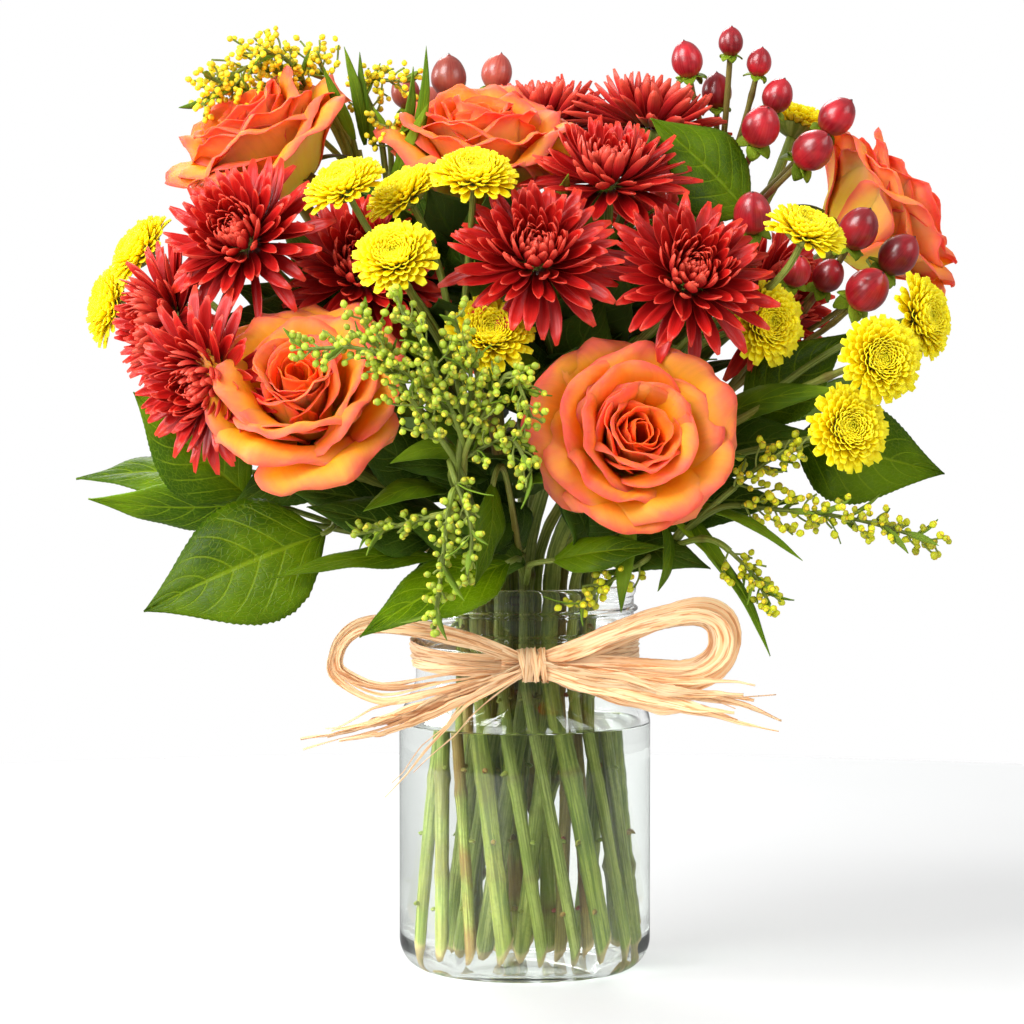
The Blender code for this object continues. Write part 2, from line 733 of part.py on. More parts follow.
def stem_pieces(kind, stem, grow=0.0):
    """Every closed shape that the stem is joined from, each grown by grow. Its main run comes first."""
    main = main_path(kind, stem)
    pieces = [tube(main, stem.radius + grow, stem.radius * TIP_SHARE + grow)]
    if not stem.fork:
        return pieces
    thin = stem.radius * BRANCH_SHARE
    for path in branch_paths(kind, stem, main):
        pieces.append(tube(path, thin + grow, thin * TIP_SHARE + grow, BRANCH_SIDES))
    for plume in stem.plumes:
        path = smooth_path([above_mouth(point) for point in plume.points], 2)
        pieces.append(tube(path, plume.radii[0] * MM + grow, plume.radii[1] * MM + grow))
    pieces += [leaf_shape(leaf, grow) for leaf in stem.leaves]
    pieces += [berry_shape(berry, grow) for berry in stem.berries]
    return pieces


def build_stem(kind, stem, finish):
    """Builds the stem as one solid: its main run with its branches joined on."""
    first, *others = stem_pieces(kind, stem)
    body = add_object(stem.name, first, finish)
    for number, piece in enumerate(others):
        add_boolean(body, add_object(f"cutter_{stem.name}_{number}", piece, helper=True), "UNION")


def room_for(kind, stem):
    """Helpers a clearance larger than the stem's pieces, to cut room for it. The first is its main run."""
    pieces = stem_pieces(kind, stem, GAP)
    return [add_object(f"room_{stem.name}_{n}", piece, helper=True) for n, piece in enumerate(pieces)]


def limits(obj):
    """The lowest and highest x, y and z of an object."""
    corners = [obj.matrix_world @ Vector(corner) for corner in obj.bound_box]
    return [(min(c[k] for c in corners), max(c[k] for c in corners)) for k in range(3)]


def near(first, second):
    """True if the bounding boxes of two objects overlap."""
    pairs = zip(limits(first), limits(second))
    return all(low < other_high and other_low < high for (low, high), (other_low, other_high) in pairs)


def build_heads(carriers, stem_room):
    """Every flower head, pressed back by the heads before it and by every stem that passes through it."""
    earlier = []
    for kind, finish, stem in carriers:
        for head in stem.heads:
            place = head_place(head)
            obj = add_object(head.name, head_shape(kind), finish, place=place)
            for cutter in (*stem_room, *earlier):
                if near(obj, cutter):
                    add_boolean(obj, cutter, "DIFFERENCE")
            grown = head_shape(kind, GAP)
            earlier.append(add_object(f"room_{head.name}", grown, helper=True, place=place))


def main():
    """Clears the scene and builds the jar, the raffia, the stems and the flower heads."""
    for obj in list(bpy.data.objects):
        bpy.data.objects.remove(obj)
    build_jar()
    build_band()
    build_bow()
    build_knot()
    carriers = [(ROSE, "rose", stem) for stem in ROSES]
    carriers += [(MUM, "mum", stem) for stem in MUMS]
    carriers += [(BUTTON, "button", stem) for stem in BUTTONS]
    greens = [(None, "berry", stem) for stem in BERRIES]
    greens += [(None, "goldenrod", stem) for stem in GOLDENROD]
    greens += [(None, "leaf", stem) for stem in SALAL]
    rooms = []
    for kind, finish, stem in (*carriers, *greens):
        build_stem(kind, stem, "stem" if kind else finish)
        rooms.append(room_for(kind, stem))
    build_water([room[0] for room in rooms])
    build_heads(carriers, [piece for room in rooms for piece in room])


main()
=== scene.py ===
"""The looks of an autumn bouquet of roses, chrysanthemums and berries in a glass jar with a raffia bow.

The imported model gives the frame. Each sub-assembly is a class that stands for its CAD nodes with
detailed pieces. Sizes are in millimetres in the classes and become metres when a mesh is made.
"""

import logging
import math
from dataclasses import dataclass, field
from enum import Enum

import bpy
import numpy as np
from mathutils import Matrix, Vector


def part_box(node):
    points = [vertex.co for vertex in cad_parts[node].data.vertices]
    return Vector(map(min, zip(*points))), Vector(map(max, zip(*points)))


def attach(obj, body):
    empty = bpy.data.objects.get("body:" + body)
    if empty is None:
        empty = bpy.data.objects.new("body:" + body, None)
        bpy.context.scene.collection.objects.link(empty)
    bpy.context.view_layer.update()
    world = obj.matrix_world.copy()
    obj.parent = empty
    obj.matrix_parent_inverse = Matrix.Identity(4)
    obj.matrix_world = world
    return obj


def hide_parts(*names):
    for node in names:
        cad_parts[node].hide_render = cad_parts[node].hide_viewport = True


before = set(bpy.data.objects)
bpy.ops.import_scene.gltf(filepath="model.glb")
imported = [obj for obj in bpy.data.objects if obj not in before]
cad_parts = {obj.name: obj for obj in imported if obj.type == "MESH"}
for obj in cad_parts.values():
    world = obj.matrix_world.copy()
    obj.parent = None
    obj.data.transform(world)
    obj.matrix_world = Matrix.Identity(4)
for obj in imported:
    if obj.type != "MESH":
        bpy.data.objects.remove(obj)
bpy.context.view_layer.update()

log = logging.getLogger("bouquet")

MM = 0.001
GOLDEN_ANGLE = math.pi * (3 - math.sqrt(5))
ROOT = "root"
SLANT_RINGS = 8
SLANT_CUT = 1.7
CUT_ROOM = 2.0
STEM_FOOT = 6.5
GLASS_WALL = 3.2
HEEL_ROOM = 13
NECK_DEPTH = 36
MOUTH_FLARE = 1.06

Colour = tuple[float, float, float]
Point = tuple[float, float, float]
Array = np.ndarray

JAR_LOW, JAR_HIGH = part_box("glass_jar")
BODY_RADIUS = (JAR_HIGH.x - JAR_LOW.x) / 2 / MM
RIM = JAR_HIGH.z / MM
WATER_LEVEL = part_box("water")[1].z / MM
BAND_LOW, BAND_HIGH = (corner.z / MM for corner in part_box("raffia_band"))
NECK_RADIUS = BODY_RADIUS - 6.5
KNOT_MIDDLE = np.array(sum(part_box("raffia_knot"), Vector())) / 2 / MM


# --- points, paths and shells ---------------------------------------------------------------


def above_mouth(point: Point) -> Array:
    """A point typed from the centre of the jar's mouth, in the frame of its foot."""
    return np.array(point, float) + (0, 0, RIM)


def unit(vector: Array) -> Array:
    """The vector at length one."""
    return vector / (np.linalg.norm(vector) + 1e-12)


def blend(low: float | Array, high: float | Array, share: float | Array) -> float | Array:
    """The value that far from low to high."""
    return low + (high - low) * share


def ease(share: float | Array, start: float = 0.0, end: float = 1.0) -> float | Array:
    """A smooth step from 0 at start to 1 at end."""
    x = np.clip((np.asarray(share, float) - start) / (end - start), 0, 1)
    return x * x * (3 - 2 * x)


def smooth_path(points: list[Array], steps: int) -> Array:
    """Points on the Catmull-Rom curve through some points.

    Args:
        points: The points that the curve passes through.
        steps: How many points each span gets.

    Returns:
        An array with a row for each point.
    """
    ends = [2 * points[0] - points[1], *points, 2 * points[-1] - points[-2]]
    path = []
    for a, b, c, d in zip(ends, ends[1:], ends[2:], ends[3:]):
        for t in np.arange(steps) / steps:
            bend = (2 * a - 5 * b + 4 * c - d) * t**2 + (3 * b - a - 3 * c + d) * t**3
            path.append(0.5 * (2 * b + (c - a) * t + bend))
    return np.array([*path, points[-1]])


def measured(path: Array) -> Array:
    """How far along the path each of its points is."""
    return np.r_[0, np.cumsum(np.linalg.norm(np.diff(path, axis=0), axis=1))]


def even_path(path: Array, spacing: float) -> Array:
    """The same path with points at an even spacing."""
    lengths = measured(path)
    count = max(int(lengths[-1] / spacing), 3)
    marks = np.linspace(0, lengths[-1], count + 1)
    return np.stack([np.interp(marks, lengths, path[:, k]) for k in range(3)], axis=1)


def bezier(a: Array, b: Array, c: Array, d: Array, steps: int) -> list[Array]:
    """Points on a cubic from a to d, pulled towards b and c, without a itself."""
    shares = [(i + 1) / steps for i in range(steps)]
    return [(1 - t) ** 3 * a + 3 * (1 - t) ** 2 * t * b + 3 * (1 - t) * t**2 * c + t**3 * d for t in shares]


def reach(start: Array, heading: Array, goal: Array, arriving: Array, steps: int = 10) -> list[Array]:
    """A smooth run from start, leaving along heading, to goal, arriving along arriving."""
    pull = np.linalg.norm(goal - start) * 0.38
    return bezier(start, start + heading * pull, goal - arriving * pull, goal, steps)


def travelling_frames(path: Array, hint: Array) -> tuple[Array, Array, Array]:
    """The directions along, across and beside a path at each of its points.

    Args:
        path: The points of the path.
        hint: The way that across should look at the start.

    Returns:
        Three arrays of unit vectors, with a row for each point.
    """
    along = np.gradient(path, axis=0)
    along /= np.linalg.norm(along, axis=1)[:, None] + 1e-12
    across = np.empty_like(path)
    current = np.asarray(hint, float)
    for i, way in enumerate(along):
        current = unit(current - way * current.dot(way))
        across[i] = current
    return along, across, np.cross(along, across)


@dataclass
class Shell:
    """A closed surface in the making: its points, faces and what the finishes read from it.

    Attributes:
        points: Places in millimetres.
        quads: Four point numbers for each face.
        tris: Three point numbers for each face.
        uvs: Two numbers for each point: across and along the piece.
        tones: Three numbers for each point: chance, age and side.
    """

    points: Array
    quads: Array
    tris: Array
    uvs: Array
    tones: Array

    def moved(self, turn: Array, shift: Array, scale: float = 1.0) -> "Shell":
        """A copy turned by a matrix, scaled and shifted."""
        points = (self.points * scale) @ np.asarray(turn).T + shift
        return Shell(points, self.quads, self.tris, self.uvs, self.tones)

    def toned(self, chance: float, age: float) -> "Shell":
        """A copy whose points all have that chance and age, with their sides kept."""
        tones = self.tones.copy()
        tones[:, 0], tones[:, 1] = chance, age
        return Shell(self.points, self.quads, self.tris, self.uvs, tones)


def joined(shells: list[Shell]) -> Shell:
    """One shell that holds all of them."""
    starts = np.cumsum([0, *[len(s.points) for s in shells[:-1]]])
    return Shell(
        np.concatenate([s.points for s in shells]),
        np.concatenate([s.quads + start for s, start in zip(shells, starts)]),
        np.concatenate([s.tris + start for s, start in zip(shells, starts)]),
        np.concatenate([s.uvs for s in shells]),
        np.concatenate([s.tones for s in shells]),
    )


def facing_turn(faces: Array, spin: float = 0.0) -> Array:
    """A matrix that turns +Z to look along faces, after a spin about +Z."""
    up = unit(np.asarray(faces, float))
    side = unit(np.cross((0, 1, 0) if abs(up[1]) < 0.95 else (1, 0, 0), up))
    ahead = np.cross(up, side)
    cos, sin = math.cos(spin), math.sin(spin)
    return np.stack([side * cos + ahead * sin, ahead * cos - side * sin, up], axis=1)


def sweep(path: Array, across: Array, beside: Array, sides: int, hint: Point = (0.13, 0.31, 0.94),
          chance: float = 0.5, slant: float = 0.0, twist: float = 0.0, lift: Array | float = 0.0) -> Shell:
    """A closed tube along a path.

    Args:
        path: The points of its middle line.
        across: Its half-width at each point along the first direction, or at each point and side.
        beside: The same along the second direction.
        sides: How many sides it has.
        hint: The way that the first direction looks at the start.
        chance: A number from 0 to 1 that its finish may vary by.
        slant: How far its first end is cut on the slant, as a share of its width.
        twist: How far it turns about itself from end to end, in radians.
        lift: How far its skin is moved along the second direction, at each point and side.

    Returns:
        The shell, with its uvs round and along the tube.
    """
    along, first, second = travelling_frames(path, hint)
    turned = (np.linspace(0, twist, len(path)))[:, None]
    first, second = (
        first * np.cos(turned) + second * np.sin(turned),
        second * np.cos(turned) - first * np.sin(turned),
    )
    turns = np.arange(sides) * math.tau / sides
    across = np.broadcast_to(np.asarray(across, float).reshape(len(path), -1), (len(path), sides))
    beside = np.broadcast_to(np.asarray(beside, float).reshape(len(path), -1), (len(path), sides))
    spokes = first[:, None] * (across * np.cos(turns))[..., None]
    spokes = spokes + second[:, None] * (beside * np.sin(turns) + lift)[..., None]
    rings = path[:, None] + spokes
    for i in range(SLANT_RINGS if slant else 0):
        rings[i] += along[i] * (across[i] * np.cos(turns) * slant * (1 - i / SLANT_RINGS))[:, None]
    lengths = measured(path)
    points = np.concatenate([rings.reshape(-1, 3), [rings[0].mean(0), rings[-1].mean(0)]])
    ring, side = np.meshgrid(np.arange(len(path) - 1), np.arange(sides), indexing="ij")
    here, there = ring * sides + side, ring * sides + (side + 1) % sides
    quads = np.stack([here, there, there + sides, here + sides], axis=-1).reshape(-1, 4)
    low, high = len(points) - 2, len(points) - 1
    k, after = np.arange(sides), (np.arange(sides) + 1) % sides
    last = (len(path) - 1) * sides
    tris = np.concatenate([np.stack([after, k, k * 0 + low], 1), np.stack([k + last, after + last, k * 0 + high], 1)])
    round_share = np.abs(np.arange(sides) * 2 / sides - 1)
    uvs = np.stack(np.meshgrid(round_share, lengths, indexing="xy"), axis=-1).reshape(-1, 2)
    uvs = np.concatenate([uvs, [[0.5, 0], [0.5, lengths[-1]]]])
    tones = np.zeros((len(points), 3))
    tones[:, 0] = chance
    tones[:, 1] = uvs[:, 1] / lengths[-1]
    return Shell(points, quads, tris, uvs, tones)


def deselect_all() -> None:
    """Leaves nothing selected, in object mode."""
    if bpy.context.mode != "OBJECT":
        bpy.ops.object.mode_set(mode="OBJECT")
    bpy.ops.object.select_all(action="DESELECT")


def apply_modifier(obj: bpy.types.Object, kind: str, **settings: object) -> None:
    """Gives an object a modifier with those settings and applies it."""
    modifier = obj.modifiers.new(kind.title(), kind)
    for key, value in settings.items():
        setattr(modifier, key, value)
    deselect_all()
    obj.select_set(True)
    bpy.context.view_layer.objects.active = obj
    bpy.ops.object.modifier_apply(modifier=modifier.name)


def taken(obj: bpy.types.Object, scale: float = 1 / MM) -> Shell:
    """The shell of a modelled object, which is removed."""
    mesh = obj.data
    points = np.empty(len(mesh.vertices) * 3)
    mesh.vertices.foreach_get("co", points)
    points = points.reshape(-1, 3) * scale
    faces = [tuple(face.vertices) for face in mesh.polygons]
    quads = np.array([f for f in faces if len(f) == 4], int).reshape(-1, 4)
    tris = np.array([f for f in faces if len(f) == 3], int).reshape(-1, 3)
    bpy.data.objects.remove(obj)
    return Shell(points, quads, tris, np.zeros((len(points), 2)), np.zeros((len(points), 3)))


def blank(across: int, along: int) -> Shell:
    """A sheet to shape a petal or leaf from, as closed as the real thing.

    Args:
        across: Faces from side to side.
        along: Faces from base to tip.

    Returns:
        A shell whose points are (u, v, w): -1 to 1 across, 0 to 1 along, and the side, -1 or 1.
    """
    deselect_all()
    bpy.ops.mesh.primitive_grid_add(x_subdivisions=across, y_subdivisions=along, size=2)
    sheet = bpy.context.object
    apply_modifier(sheet, "SOLIDIFY", thickness=2, offset=0)
    shell = taken(sheet, 1.0)
    shell.points[:, 1] = (shell.points[:, 1] + 1) / 2
    shell.uvs = np.stack([(shell.points[:, 0] + 1) / 2, shell.points[:, 1]], axis=1)
    shell.tones[:, 2] = shell.points[:, 2] > 0
    return shell


def volumes(points: Array, quads: Array, tris: Array) -> Array:
    """The signed volume of each copy of a closed shape. It is negative if its faces look inwards.

    Args:
        points: Places, by copy, point and axis.
        quads: Four point numbers for each face.
        tris: Three point numbers for each face.

    Returns:
        One number for each copy.
    """
    fans = np.concatenate([quads[:, [0, 1, 2]], quads[:, [0, 2, 3]], tris])
    a, b, c = (points[:, fans[:, k]] for k in range(3))
    return np.einsum("nfk,nfk->n", a, np.cross(b, c)) / 6


def scattered(sheet: Shell, places: Array, chance: Array, age: Array) -> Shell:
    """Many shaped copies of one sheet as one shell.

    Args:
        sheet: The blank that they were shaped from.
        places: The shaped points, by copy, point and axis.
        chance: A number from 0 to 1 for each copy.
        age: A number from 0, the heart, to 1, the outside, for each copy.

    Returns:
        The shell.
    """
    copies, count = places.shape[:2]
    starts = (np.arange(copies) * count)[:, None, None]
    inwards = (volumes(places, sheet.quads, sheet.tris) < 0)[:, None, None]
    quads = np.where(inwards, sheet.quads[:, ::-1], sheet.quads) + starts
    tris = np.where(inwards, sheet.tris[:, ::-1], sheet.tris) + starts
    tones = np.empty((copies, count, 3))
    tones[..., 0] = chance[:, None]
    tones[..., 1] = age[:, None]
    tones[..., 2] = sheet.tones[:, 2]
    return Shell(
        places.reshape(-1, 3),
        quads.reshape(-1, 4),
        tris.reshape(-1, 3),
        np.tile(sheet.uvs, (copies, 1)),
        tones.reshape(-1, 3),
    )


def make_piece(name: str, shell: Shell, finish: "Finish", nodes: tuple[str, ...] = (),
               smooth_angle: float = 0.0) -> bpy.types.Object:
    """Makes the mesh of a finished piece, in its place, and fixes it to the frame.

    Args:
        name: The piece's name.
        shell: Its shape.
        finish: What it is made of.
        nodes: The CAD nodes that it stands for.
        smooth_angle: Edges sharper than this many degrees stay sharp. 0 rounds them all.

    Returns:
        The object, at the origin, with its place in its mesh.
    """
    mesh = bpy.data.meshes.new(name)
    mesh.vertices.add(len(shell.points))
    mesh.vertices.foreach_set("co", (shell.points * MM).astype(np.float32).ravel())
    corners = np.concatenate([shell.quads.ravel(), shell.tris.ravel()]).astype(np.int32)
    mesh.loops.add(len(corners))
    mesh.loops.foreach_set("vertex_index", corners)
    quad_starts = np.arange(len(shell.quads)) * 4
    tri_starts = len(shell.quads) * 4 + np.arange(len(shell.tris)) * 3
    mesh.polygons.add(len(shell.quads) + len(shell.tris))
    mesh.polygons.foreach_set("loop_start", np.concatenate([quad_starts, tri_starts]).astype(np.int32))
    mesh.update(calc_edges=True)
    mesh.uv_layers.new(name="UVMap").data.foreach_set("uv", shell.uvs[corners].astype(np.float32).ravel())
    tones = np.ones((len(shell.points), 4), np.float32)
    tones[:, :3] = shell.tones
    mesh.color_attributes.new("tone", "FLOAT_COLOR", "POINT").data.foreach_set("color", tones.ravel())
    mesh.shade_smooth()
    if smooth_angle:
        mesh.set_sharp_from_angle(angle=math.radians(smooth_angle))
    mesh.materials.append(finish.material())
    obj = bpy.data.objects.new(name, mesh)
    bpy.context.scene.collection.objects.link(obj)
    return fixed(obj, nodes)


def fixed(obj: bpy.types.Object, nodes: tuple[str, ...]) -> bpy.types.Object:
    """Rides a piece on the root body, in the place of some nodes, and logs it."""
    if nodes:
        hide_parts(*nodes)
    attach(obj, ROOT)
    log.info("%s: %d faces, stands for %s", obj.name, len(obj.data.polygons), ", ".join(nodes) or "no node")
    return obj


# --- finishes ---------------------------------------------------------------------------------


class Graph:
    """A short way to add nodes to a tree and join them."""

    def __init__(self, tree: bpy.types.NodeTree) -> None:
        """Keeps the tree."""
        self.tree = tree

    def add(self, kind: str, inputs: dict | None = None, **settings: object) -> bpy.types.Node:
        """Adds a node.

        Args:
            kind: The node's type name without its leading ShaderNode.
            inputs: A value or an output socket for each named or numbered input.
            settings: The node's own properties.

        Returns:
            The node.
        """
        node = self.tree.nodes.new(kind if kind.startswith("Node") else "ShaderNode" + kind)
        for key, value in settings.items():
            setattr(node, key, value)
        for key, value in (inputs or {}).items():
            if isinstance(value, bpy.types.NodeSocket):
                self.tree.links.new(value, node.inputs[key])
            else:
                node.inputs[key].default_value = value
        return node

    def maths(self, operation: str, *values: object) -> bpy.types.NodeSocket:
        """The result of a Math node on numbers or sockets."""
        return self.add("Math", dict(enumerate(values)), operation=operation).outputs[0]

    def remap(self, value: bpy.types.NodeSocket, low: float, high: float, to_low: float = 0.0,
              to_high: float = 1.0) -> bpy.types.NodeSocket:
        """A value smoothly taken from one range to another."""
        inputs = {0: value, 1: low, 2: high, 3: to_low, 4: to_high}
        return self.add("MapRange", inputs, interpolation_type="SMOOTHSTEP").outputs[0]

    def mix(self, share: object, first: object, second: object, how: str = "MIX") -> bpy.types.NodeSocket:
        """Two colours mixed."""
        colours = [(*c, 1.0) if isinstance(c, tuple) and len(c) == 3 else c for c in (first, second)]
        inputs = {0: share, 6: colours[0], 7: colours[1]}
        return self.add("Mix", inputs, data_type="RGBA", blend_type=how).outputs[2]

    def ramp(self, value: bpy.types.NodeSocket, stops: tuple[tuple[float, Colour], ...]) -> bpy.types.NodeSocket:
        """A colour read off a ramp with those stops."""
        node = self.add("ValToRGB", {0: value})
        elements = node.color_ramp.elements
        while len(elements) < len(stops):
            elements.new(0.5)
        for element, (place, colour) in zip(elements, stops):
            element.position = place
            element.color = (*colour, 1)
        return node.outputs[0]

    def parts(self, vector: bpy.types.NodeSocket) -> bpy.types.NodeOutputs:
        """The three numbers of a vector or colour."""
        return self.add("SeparateXYZ", {0: vector}).outputs

    def group(self, tree: bpy.types.NodeTree, **inputs: object) -> bpy.types.NodeOutputs:
        """The outputs of a shared effect with those inputs."""
        node = self.tree.nodes.new("ShaderNodeGroup")
        node.node_tree = tree
        for key, value in inputs.items():
            if isinstance(value, bpy.types.NodeSocket):
                self.tree.links.new(value, node.inputs[key])
            else:
                node.inputs[key].default_value = value
        return node.outputs

    def bump(self, height: bpy.types.NodeSocket, strength: float, distance: float) -> bpy.types.NodeSocket:
        """A normal bent by a height."""
        return self.add("Bump", {"Height": height, "Strength": strength, "Distance": distance}).outputs[0]


class Effect(Enum):
    """The effects that several finishes share."""

    STREAKS = "streaks"
    MOTTLE = "mottle"


def shared_effect(effect: Effect) -> bpy.types.NodeTree:
    """The node group of an effect, built the first time that it is asked for.

    Args:
        effect: Which one.

    Returns:
        A group with inputs Vector, Offset, Fine and Coarse, and the outputs Mask and Height.
    """
    tree = bpy.data.node_groups.get(effect.value)
    if tree:
        return tree
    tree = bpy.data.node_groups.new(effect.value, "ShaderNodeTree")
    for name, kind in (("Vector", "Vector"), ("Offset", "Float"), ("Fine", "Float"), ("Coarse", "Float")):
        tree.interface.new_socket(name, in_out="INPUT", socket_type="NodeSocket" + kind)
    for name in ("Mask", "Height"):
        tree.interface.new_socket(name, in_out="OUTPUT", socket_type="NodeSocketFloat")
    graph = Graph(tree)
    given = graph.add("NodeGroupInput").outputs
    if effect is Effect.STREAKS:
        x, y, _ = graph.parts(given["Vector"])[:3]
        across = graph.maths("MULTIPLY", x, given["Fine"])
        along = graph.maths("MULTIPLY", y, given["Coarse"])
        shift = graph.maths("MULTIPLY", given["Offset"], 37.0)
        place = graph.add("CombineXYZ", {0: across, 1: along, 2: shift}).outputs[0]
        noise = graph.add("TexNoise", {"Vector": place, "Scale": 1.0, "Detail": 3.0, "Roughness": 0.6}).outputs[0]
        mask = graph.remap(noise, 0.36, 0.66)
    else:
        shift = graph.add("CombineXYZ", {0: given["Offset"], 1: given["Offset"], 2: 0.0}).outputs[0]
        place = graph.add("VectorMath", {0: given["Vector"], 1: shift}, operation="ADD").outputs[0]
        coarse = graph.add("TexNoise", {"Vector": place, "Scale": given["Coarse"], "Detail": 4.0}).outputs[0]
        noise = graph.add("TexNoise", {"Vector": place, "Scale": given["Fine"], "Detail": 3.0}).outputs[0]
        mask = graph.remap(coarse, 0.38, 0.64)
    out = graph.add("NodeGroupOutput")
    tree.links.new(mask, out.inputs["Mask"])
    tree.links.new(noise, out.inputs["Height"])
    return tree


@dataclass(frozen=True)
class Finish:
    """What a piece is made of.

    Attributes:
        name: The material's name.
        roughness: How matt it is.
    """

    name: str
    roughness: float = 0.5

    def material(self) -> bpy.types.Material:
        """The material, built the first time that it is asked for."""
        made = bpy.data.materials.get(self.name)
        if made:
            return made
        made = bpy.data.materials.new(self.name)
        made.use_nodes = True
        graph = Graph(made.node_tree)
        shader = made.node_tree.nodes["Principled BSDF"]
        shader.inputs["Roughness"].default_value = self.roughness
        self.dress(graph, shader)
        return made

    def dress(self, graph: Graph, shader: bpy.types.Node) -> None:
        """Joins the pattern nodes to the shader."""
        raise NotImplementedError

    @staticmethod
    def tone(graph: Graph) -> bpy.types.NodeOutputs:
        """The chance, age and side that the mesh holds."""
        return graph.parts(graph.add("Attribute", attribute_name="tone").outputs["Color"])

    @staticmethod
    def spread(graph: Graph) -> bpy.types.NodeSocket:
        """The piece's own coordinates across and along it."""
        return graph.add("UVMap", uv_map="UVMap").outputs[0]

    @staticmethod
    def place(graph: Graph) -> bpy.types.NodeSocket:
        """Object coordinates."""
        return graph.add("TexCoord").outputs["Object"]

    def mottled(self, graph: Graph, offset: object, fine: float, coarse: float) -> object:
        """The shared mottle on object coordinates.

        Args:
            graph: Where the nodes go.
            offset: Shifts the pattern, so that copies differ.
            fine: How often the small patches repeat in a metre.
            coarse: How often the large ones do.

        Returns:
            What the group puts out.
        """
        return graph.group(
            shared_effect(Effect.MOTTLE), Vector=self.place(graph), Offset=offset, Fine=fine, Coarse=coarse
        )


def join(graph: Graph, shader: bpy.types.Node, **sockets: bpy.types.NodeSocket) -> None:
    """Links outputs to the shader's inputs. An underscore in a name stands for a space."""
    for name, socket in sockets.items():
        graph.tree.links.new(socket, shader.inputs[name.replace("_", " ")])


@dataclass(frozen=True)
class Petal(Finish):
    """A petal: colours from its base to its tip on both sides, a rim, fine lines and a velvet sheen."""

    face: tuple[tuple[float, Colour], ...] = ()
    reverse: tuple[tuple[float, Colour], ...] = ()
    heart: Colour = (1, 1, 1)
    heart_until: float = 0.2
    rim: Colour = (1, 1, 1)
    rim_from: float = 0.75
    rim_share: float = 0.5
    streak: float = 0.25
    lines: float = 22.0
    sheen: float = 0.2
    glow: float = 0.12
    glow_colour: Colour = (1, 0.2, 0.1)
    spread_light: float = 0.0015
    gloss: float = 0.25

    def dress(self, graph: Graph, shader: bpy.types.Node) -> None:
        """Base, rim and heart colours with fine lines."""
        chance, age, side = self.tone(graph)[:3]
        spread = self.spread(graph)
        u, v, _ = graph.parts(spread)[:3]
        streaks = graph.group(
            shared_effect(Effect.STREAKS), Vector=spread, Offset=chance, Fine=self.lines, Coarse=1.6
        )
        patches = self.mottled(graph, 0.3, 900.0, 60.0)
        wander = graph.maths("MULTIPLY_ADD", patches[0], 0.08, -0.04)
        shifted = graph.maths("ADD", v, wander)
        colour = graph.mix(side, graph.ramp(shifted, self.reverse), graph.ramp(shifted, self.face))
        edge = graph.maths("MULTIPLY", graph.maths("ABSOLUTE", graph.maths("SUBTRACT", u, 0.5)), 2.0)
        nearest = graph.maths(
            "MAXIMUM", graph.remap(edge, self.rim_from, 1.02), graph.remap(shifted, self.rim_from + 0.06, 1.02)
        )
        colour = graph.mix(graph.maths("MULTIPLY", nearest, self.rim_share), colour, self.rim)
        young = graph.remap(age, 0.0, self.heart_until, 1.0, 0.0)
        colour = graph.mix(young, colour, graph.mix(0.25, self.heart, colour))
        dark = graph.maths("MULTIPLY", streaks[0], self.streak)
        colour = graph.mix(dark, colour, (0.35, 0.22, 0.2), "MULTIPLY")
        value = graph.maths("MULTIPLY_ADD", chance, 0.3, 0.9)
        colour = graph.add("HueSaturation", {"Value": value, "Color": colour}).outputs[0]
        normal = graph.bump(streaks[1], 0.35, 0.0004)
        join(graph, shader, Base_Color=colour, Normal=normal)
        shader.inputs["Sheen Weight"].default_value = self.sheen
        shader.inputs["Sheen Roughness"].default_value = 0.4
        shader.inputs["Sheen Tint"].default_value = (*self.rim, 1)
        shader.inputs["Subsurface Weight"].default_value = self.glow
        shader.inputs["Subsurface Radius"].default_value = self.glow_colour
        shader.inputs["Subsurface Scale"].default_value = self.spread_light
        shader.inputs["Specular IOR Level"].default_value = self.gloss


